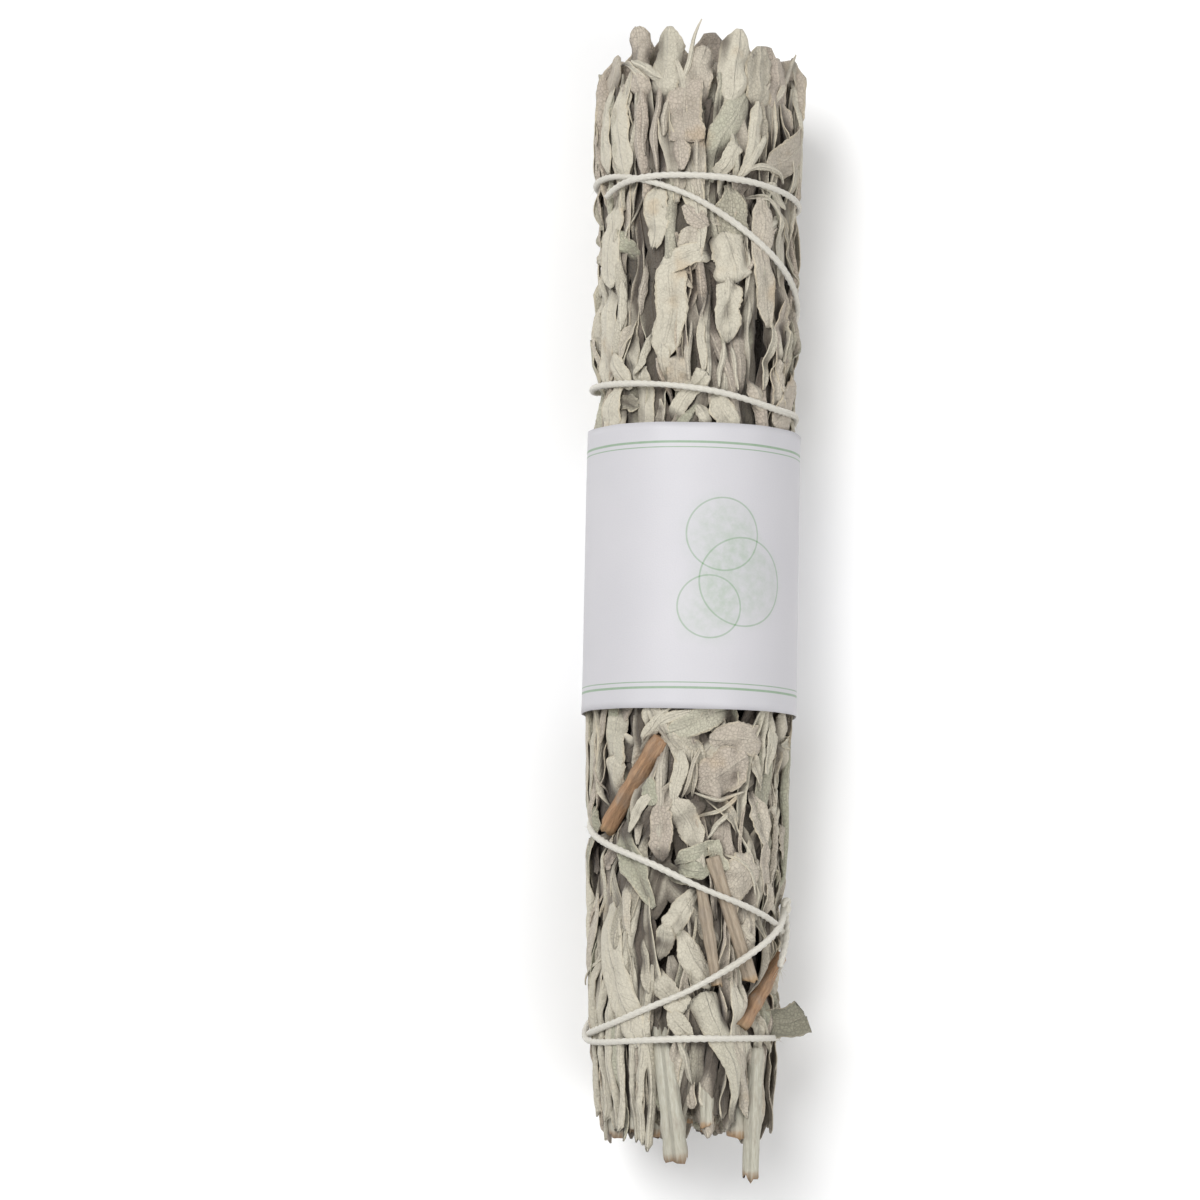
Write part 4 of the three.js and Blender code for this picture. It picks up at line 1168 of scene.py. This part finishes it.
def string_part(path, reference):
    """A tube of three lobes, for the plies, that turn once in each pitch; its place runs along and round."""
    passed = np.concatenate([[0], np.cumsum(np.linalg.norm(np.diff(path, axis=0), axis=1))])[:, None]
    turn = np.arange(STRING_SIDES)[None, :] / STRING_SIDES * TURN
    lobes = 1 + 0.15 * np.cos(3 * turn - TURN * passed / PLY_PITCH * 3)
    thick = 1 + 0.07 * np.sin(passed / 7.3) + 0.05 * np.sin(passed / 2.9)
    rings = tube(path, STRING_RADIUS * 0.9 * lobes * thick, reference)
    place = np.stack(np.broadcast_arrays(turn * STRING_RADIUS, passed), axis=-1)
    return tube_part(rings, np.zeros((*rings.shape[:2], 4)), place)


def outward(angle):
    """The direction straight out of the bundle at each angle."""
    return np.stack([np.cos(angle), 0 * angle, np.sin(angle)], axis=-1)


tail_angle, tail_y, tail_radius = string_path(TAIL_ROUTE, 40)
main_path = polar(string_angle, string_y, string_radius)
tail_path = polar(tail_angle, tail_y, tail_radius)
knot_turn = np.linspace(0, TURN, 70)
knot_path = main_path[0] + KNOT_SIZE * np.stack(
    [
        1.2 + np.sin(3 * knot_turn),
        np.sin(knot_turn) + 2 * np.sin(2 * knot_turn) + 1,
        np.cos(knot_turn) - 2 * np.cos(2 * knot_turn),
    ],
    axis=-1,
)
string_parts = [
    string_part(main_path, outward(string_angle)),
    string_part(tail_path, outward(tail_angle)),
    string_part(knot_path, np.tile([1.0, 0.2, 0.1], (70, 1))),
]


def fibre(seed, root, direction):
    """A thin curved thread of five rings and three sides that tapers away from the string."""
    share = np.linspace(0, 1, 5)[:, None]
    sway = np.random.default_rng(seed).normal(0, 0.5, 3)
    path = root + share * direction + share**2 * sway
    rings = tube(path, 0.045 * (1.1 - share) * np.ones((1, 3)), np.tile([0.31, 0.52, 0.79], (5, 1)))
    return tube_part(rings, np.zeros((5, 3, 4)), np.zeros((5, 3, 2)))


frays = np.random.default_rng(31)
for n in range(26):
    string_parts.append(fibre(n, tail_path[-1], frays.normal(0, 0.7, 3) + (0, -2.4, 0)))
for n in range(420):
    spot = int(frays.integers(len(main_path)))
    string_parts.append(fibre(100 + n, main_path[spot], frays.normal(0, 0.75, 3)))

string_material, shader, start = new_material("cotton_string", Sheen_Weight=0.3, Sheen_Roughness=0.5)
place = start.add("ShaderNodeUVMap", {"uv_map": "string"})
object_place = start.add("ShaderNodeTexCoord", None, None, 3)
slanted = start.add("ShaderNodeMapping", None, {"Vector": place, "Rotation": (0, 0, 0.6), "Scale": (4.0, 0.5, 1)})
fibres = start.noise(slanted, 3.0, 4.0, 0.6)
soiled = start.noise(object_place, 45.0, 3.0)
colour = fibres.between(0.25, 0.75).mixed((0.58, 0.55, 0.47, 1), (0.76, 0.735, 0.67, 1))
colour = (soiled.between(0.5, 0.75) * 0.35).mixed(colour, (0.50, 0.46, 0.37, 1))
bump = start.add("ShaderNodeBump", None, {"Strength": 0.6, "Distance": 0.00025, "Height": fibres})
connect(shader, Base_Color=colour, Normal=bump, Roughness=0.85 + fibres * 0.1)
string = make_piece("wound_string", string_parts, string_material, tint=None, place="string")
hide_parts("cotton_string")

# The paper band: one strip of smooth white paper, wrapped tight round the middle, its outer end lapped over
# the start and glued low on the left-hand side. It is printed in soft green.
PAPER_THICKNESS = 0.22
BAND_AROUND, BAND_ALONG = 260, 40
LAP_START, LAP_END = 196, 222
strip = np.linspace(LAP_START, 360 + LAP_END, BAND_AROUND)[:, None]
edge = np.linspace(-1, 1, BAND_ALONG)[None, :]
strip_angle = np.radians(strip)
lapped = smooth(strip, 360 + LAP_START - 8, 360 + LAP_START + 1) * 0.34
lip = np.abs(edge) ** 6
ripple = 0.16 * np.sin(np.radians(strip) * 7) + 0.12 * np.sin(np.radians(strip) * 13 + 2 * edge)
band_radius = 20.86 + lapped + lip * ripple - 0.1 * uneven(np.radians(strip) * LEAF_RADIUS, 20 * edge, 5)
band_radius = np.minimum(band_radius, on_floor(strip_angle, RESTING_DROP - 0.13))
band_y = BAND_CENTRE + edge * BAND_WIDTH / 2 + 0.12 * np.sin(np.radians(strip) * 3)
band_middle = polar(strip_angle + 0 * edge, band_y, band_radius)
band_part = dict(
    points=shell_points(band_middle, PAPER_THICKNESS),
    faces=sheet_faces(BAND_AROUND, BAND_ALONG),
    place=np.tile(
        np.stack(np.broadcast_arrays(LEAF_RADIUS * (TURN * 1.25 - strip_angle), band_y), axis=-1).reshape(-1, 2), (2, 1)
    ),
)

paper_material, shader, start = new_material("printed_paper", Coat_Weight=0.05, Coat_Roughness=0.4)
place = start.add("ShaderNodeUVMap", {"uv_map": "sheet"})
fibres = start.noise(place, 3.5, 4.0, 0.6)
cloud = start.noise(place, 0.05, 2.0)
sheet_parts = start.add("ShaderNodeSeparateXYZ", None, {0: place})
round_place = sheet_parts
along_place = Shade(start.tree, sheet_parts.socket.node.outputs[1])


def ring_of(centre, radius):
    """How far each place is from a circle on the sheet, in millimetres, positive outside it."""
    aside = round_place - centre[0]
    above = along_place - centre[1]
    return (aside * aside + above * above).maths("SQRT", aside * aside + above * above) - radius


def line(distance, width):
    """1 on a line of the given width and 0 away from it."""
    return 1 - abs(distance).between(width / 2 - 0.05, width / 2 + 0.05)


RINGS = [((5.5, 9.5), 7.0), ((9.5, 0.5), 8.5), ((3.0, -4.5), 6.0)]
white = (fibres * 0.5 + cloud * 0.5).between(0.3, 0.7).mixed((0.525, 0.518, 0.543, 1), (0.56, 0.55, 0.572, 1))
wash_edge = start.noise(place, 0.14, 4.0, 0.6)
pigment = start.noise(place, 0.5, 4.0, 0.65)
printed = white
for centre, radius in RINGS:
    inside = 1 - (ring_of(centre, radius) + (wash_edge - 0.5) * 9).between(-4.0, 2.5)
    printed = (inside * pigment.between(0.2, 0.8) * 0.42).mixed(printed, (0.30, 0.40, 0.28, 1))
rules = line(abs(along_place - BAND_CENTRE) - 23.6, 0.45) + line(abs(along_place - BAND_CENTRE) - 22.6, 0.2)
for centre, radius in RINGS:
    rules = rules + line(ring_of(centre, radius), 0.3) * 0.7
printed = (rules * (0.6 + pigment * 0.4)).mixed(printed, (0.20, 0.32, 0.19, 1))
bump = start.add("ShaderNodeBump", None, {"Strength": 0.12, "Distance": 0.0003, "Height": fibres})
connect(shader, Base_Color=printed, Normal=bump, Roughness=0.5 + fibres * 0.12)
band = make_piece("printed_band", [band_part], paper_material, tint=None, place="sheet")
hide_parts("paper_band")

# The surface it lies on, a pale plain sheet.
mesh = bpy.data.meshes.new("floor")
mesh.from_pydata([(-3, -3, 0), (3, -3, 0), (3, 3, 0), (-3, 3, 0)], [], [(0, 1, 2, 3)])
floor_material, shader, start = new_material("pale_floor", Base_Color=(0.95, 0.95, 0.95, 1), Roughness=0.8)
mesh.materials.append(floor_material)
floor = bpy.data.objects.new("floor", mesh)
bpy.context.scene.collection.objects.link(floor)

# Studio light: one broad soft light over the left shoulder, a fill from the right, and an even white room.
world = bpy.data.worlds.new("room")
world.use_nodes = True
world.node_tree.nodes["Background"].inputs[0].default_value = (1, 1, 1, 1)
world.node_tree.nodes["Background"].inputs[1].default_value = 0.36
bpy.context.scene.world = world
bpy.context.scene.view_settings.view_transform = "Standard"


def soft_light(name, place, size, watts):
    """A square light that faces the bundle's middle."""
    light = bpy.data.lights.new(name, "AREA")
    light.size, light.energy = size, watts
    lamp = bpy.data.objects.new(name, light)
    lamp.location = place
    lamp.rotation_euler = (Vector((0, 0, 0.02)) - Vector(place)).to_track_quat("-Z", "Y").to_euler()
    bpy.context.scene.collection.objects.link(lamp)


soft_light("key", (-0.45, 0.4, 1.05), 0.7, 12)
soft_light("fill", (0.6, -0.5, 0.8), 0.9, 6)

# The camera looks almost straight down on the bundle, from a little towards its cut stems.
VIEW_ROLL = np.radians(1.09)
FRAME_WIDTH = 0.2348  # seen at the bundle's axis
BESIDE = 0.0178  # from the bundle's axis to the middle of the picture
level = Vector((1, 0, 0))
upward = Vector((0, np.cos(VIEW_TILT), np.sin(VIEW_TILT)))
right = level * np.cos(VIEW_ROLL) + upward * np.sin(VIEW_ROLL)
up = upward * np.cos(VIEW_ROLL) - level * np.sin(VIEW_ROLL)
back = right.cross(up)
aim = Vector(AXIS) + Vector((0, -0.0012, 0)) - right * BESIDE
lens = bpy.data.cameras.new("camera")
lens.sensor_width = 36
lens.lens = 36 * VIEW_DISTANCE / FRAME_WIDTH
camera = bpy.data.objects.new("camera", lens)
camera.matrix_world = Matrix.Translation(aim + back * VIEW_DISTANCE) @ Matrix((right, up, back)).transposed().to_4x4()
bpy.context.scene.collection.objects.link(camera)
bpy.context.scene.camera = camera
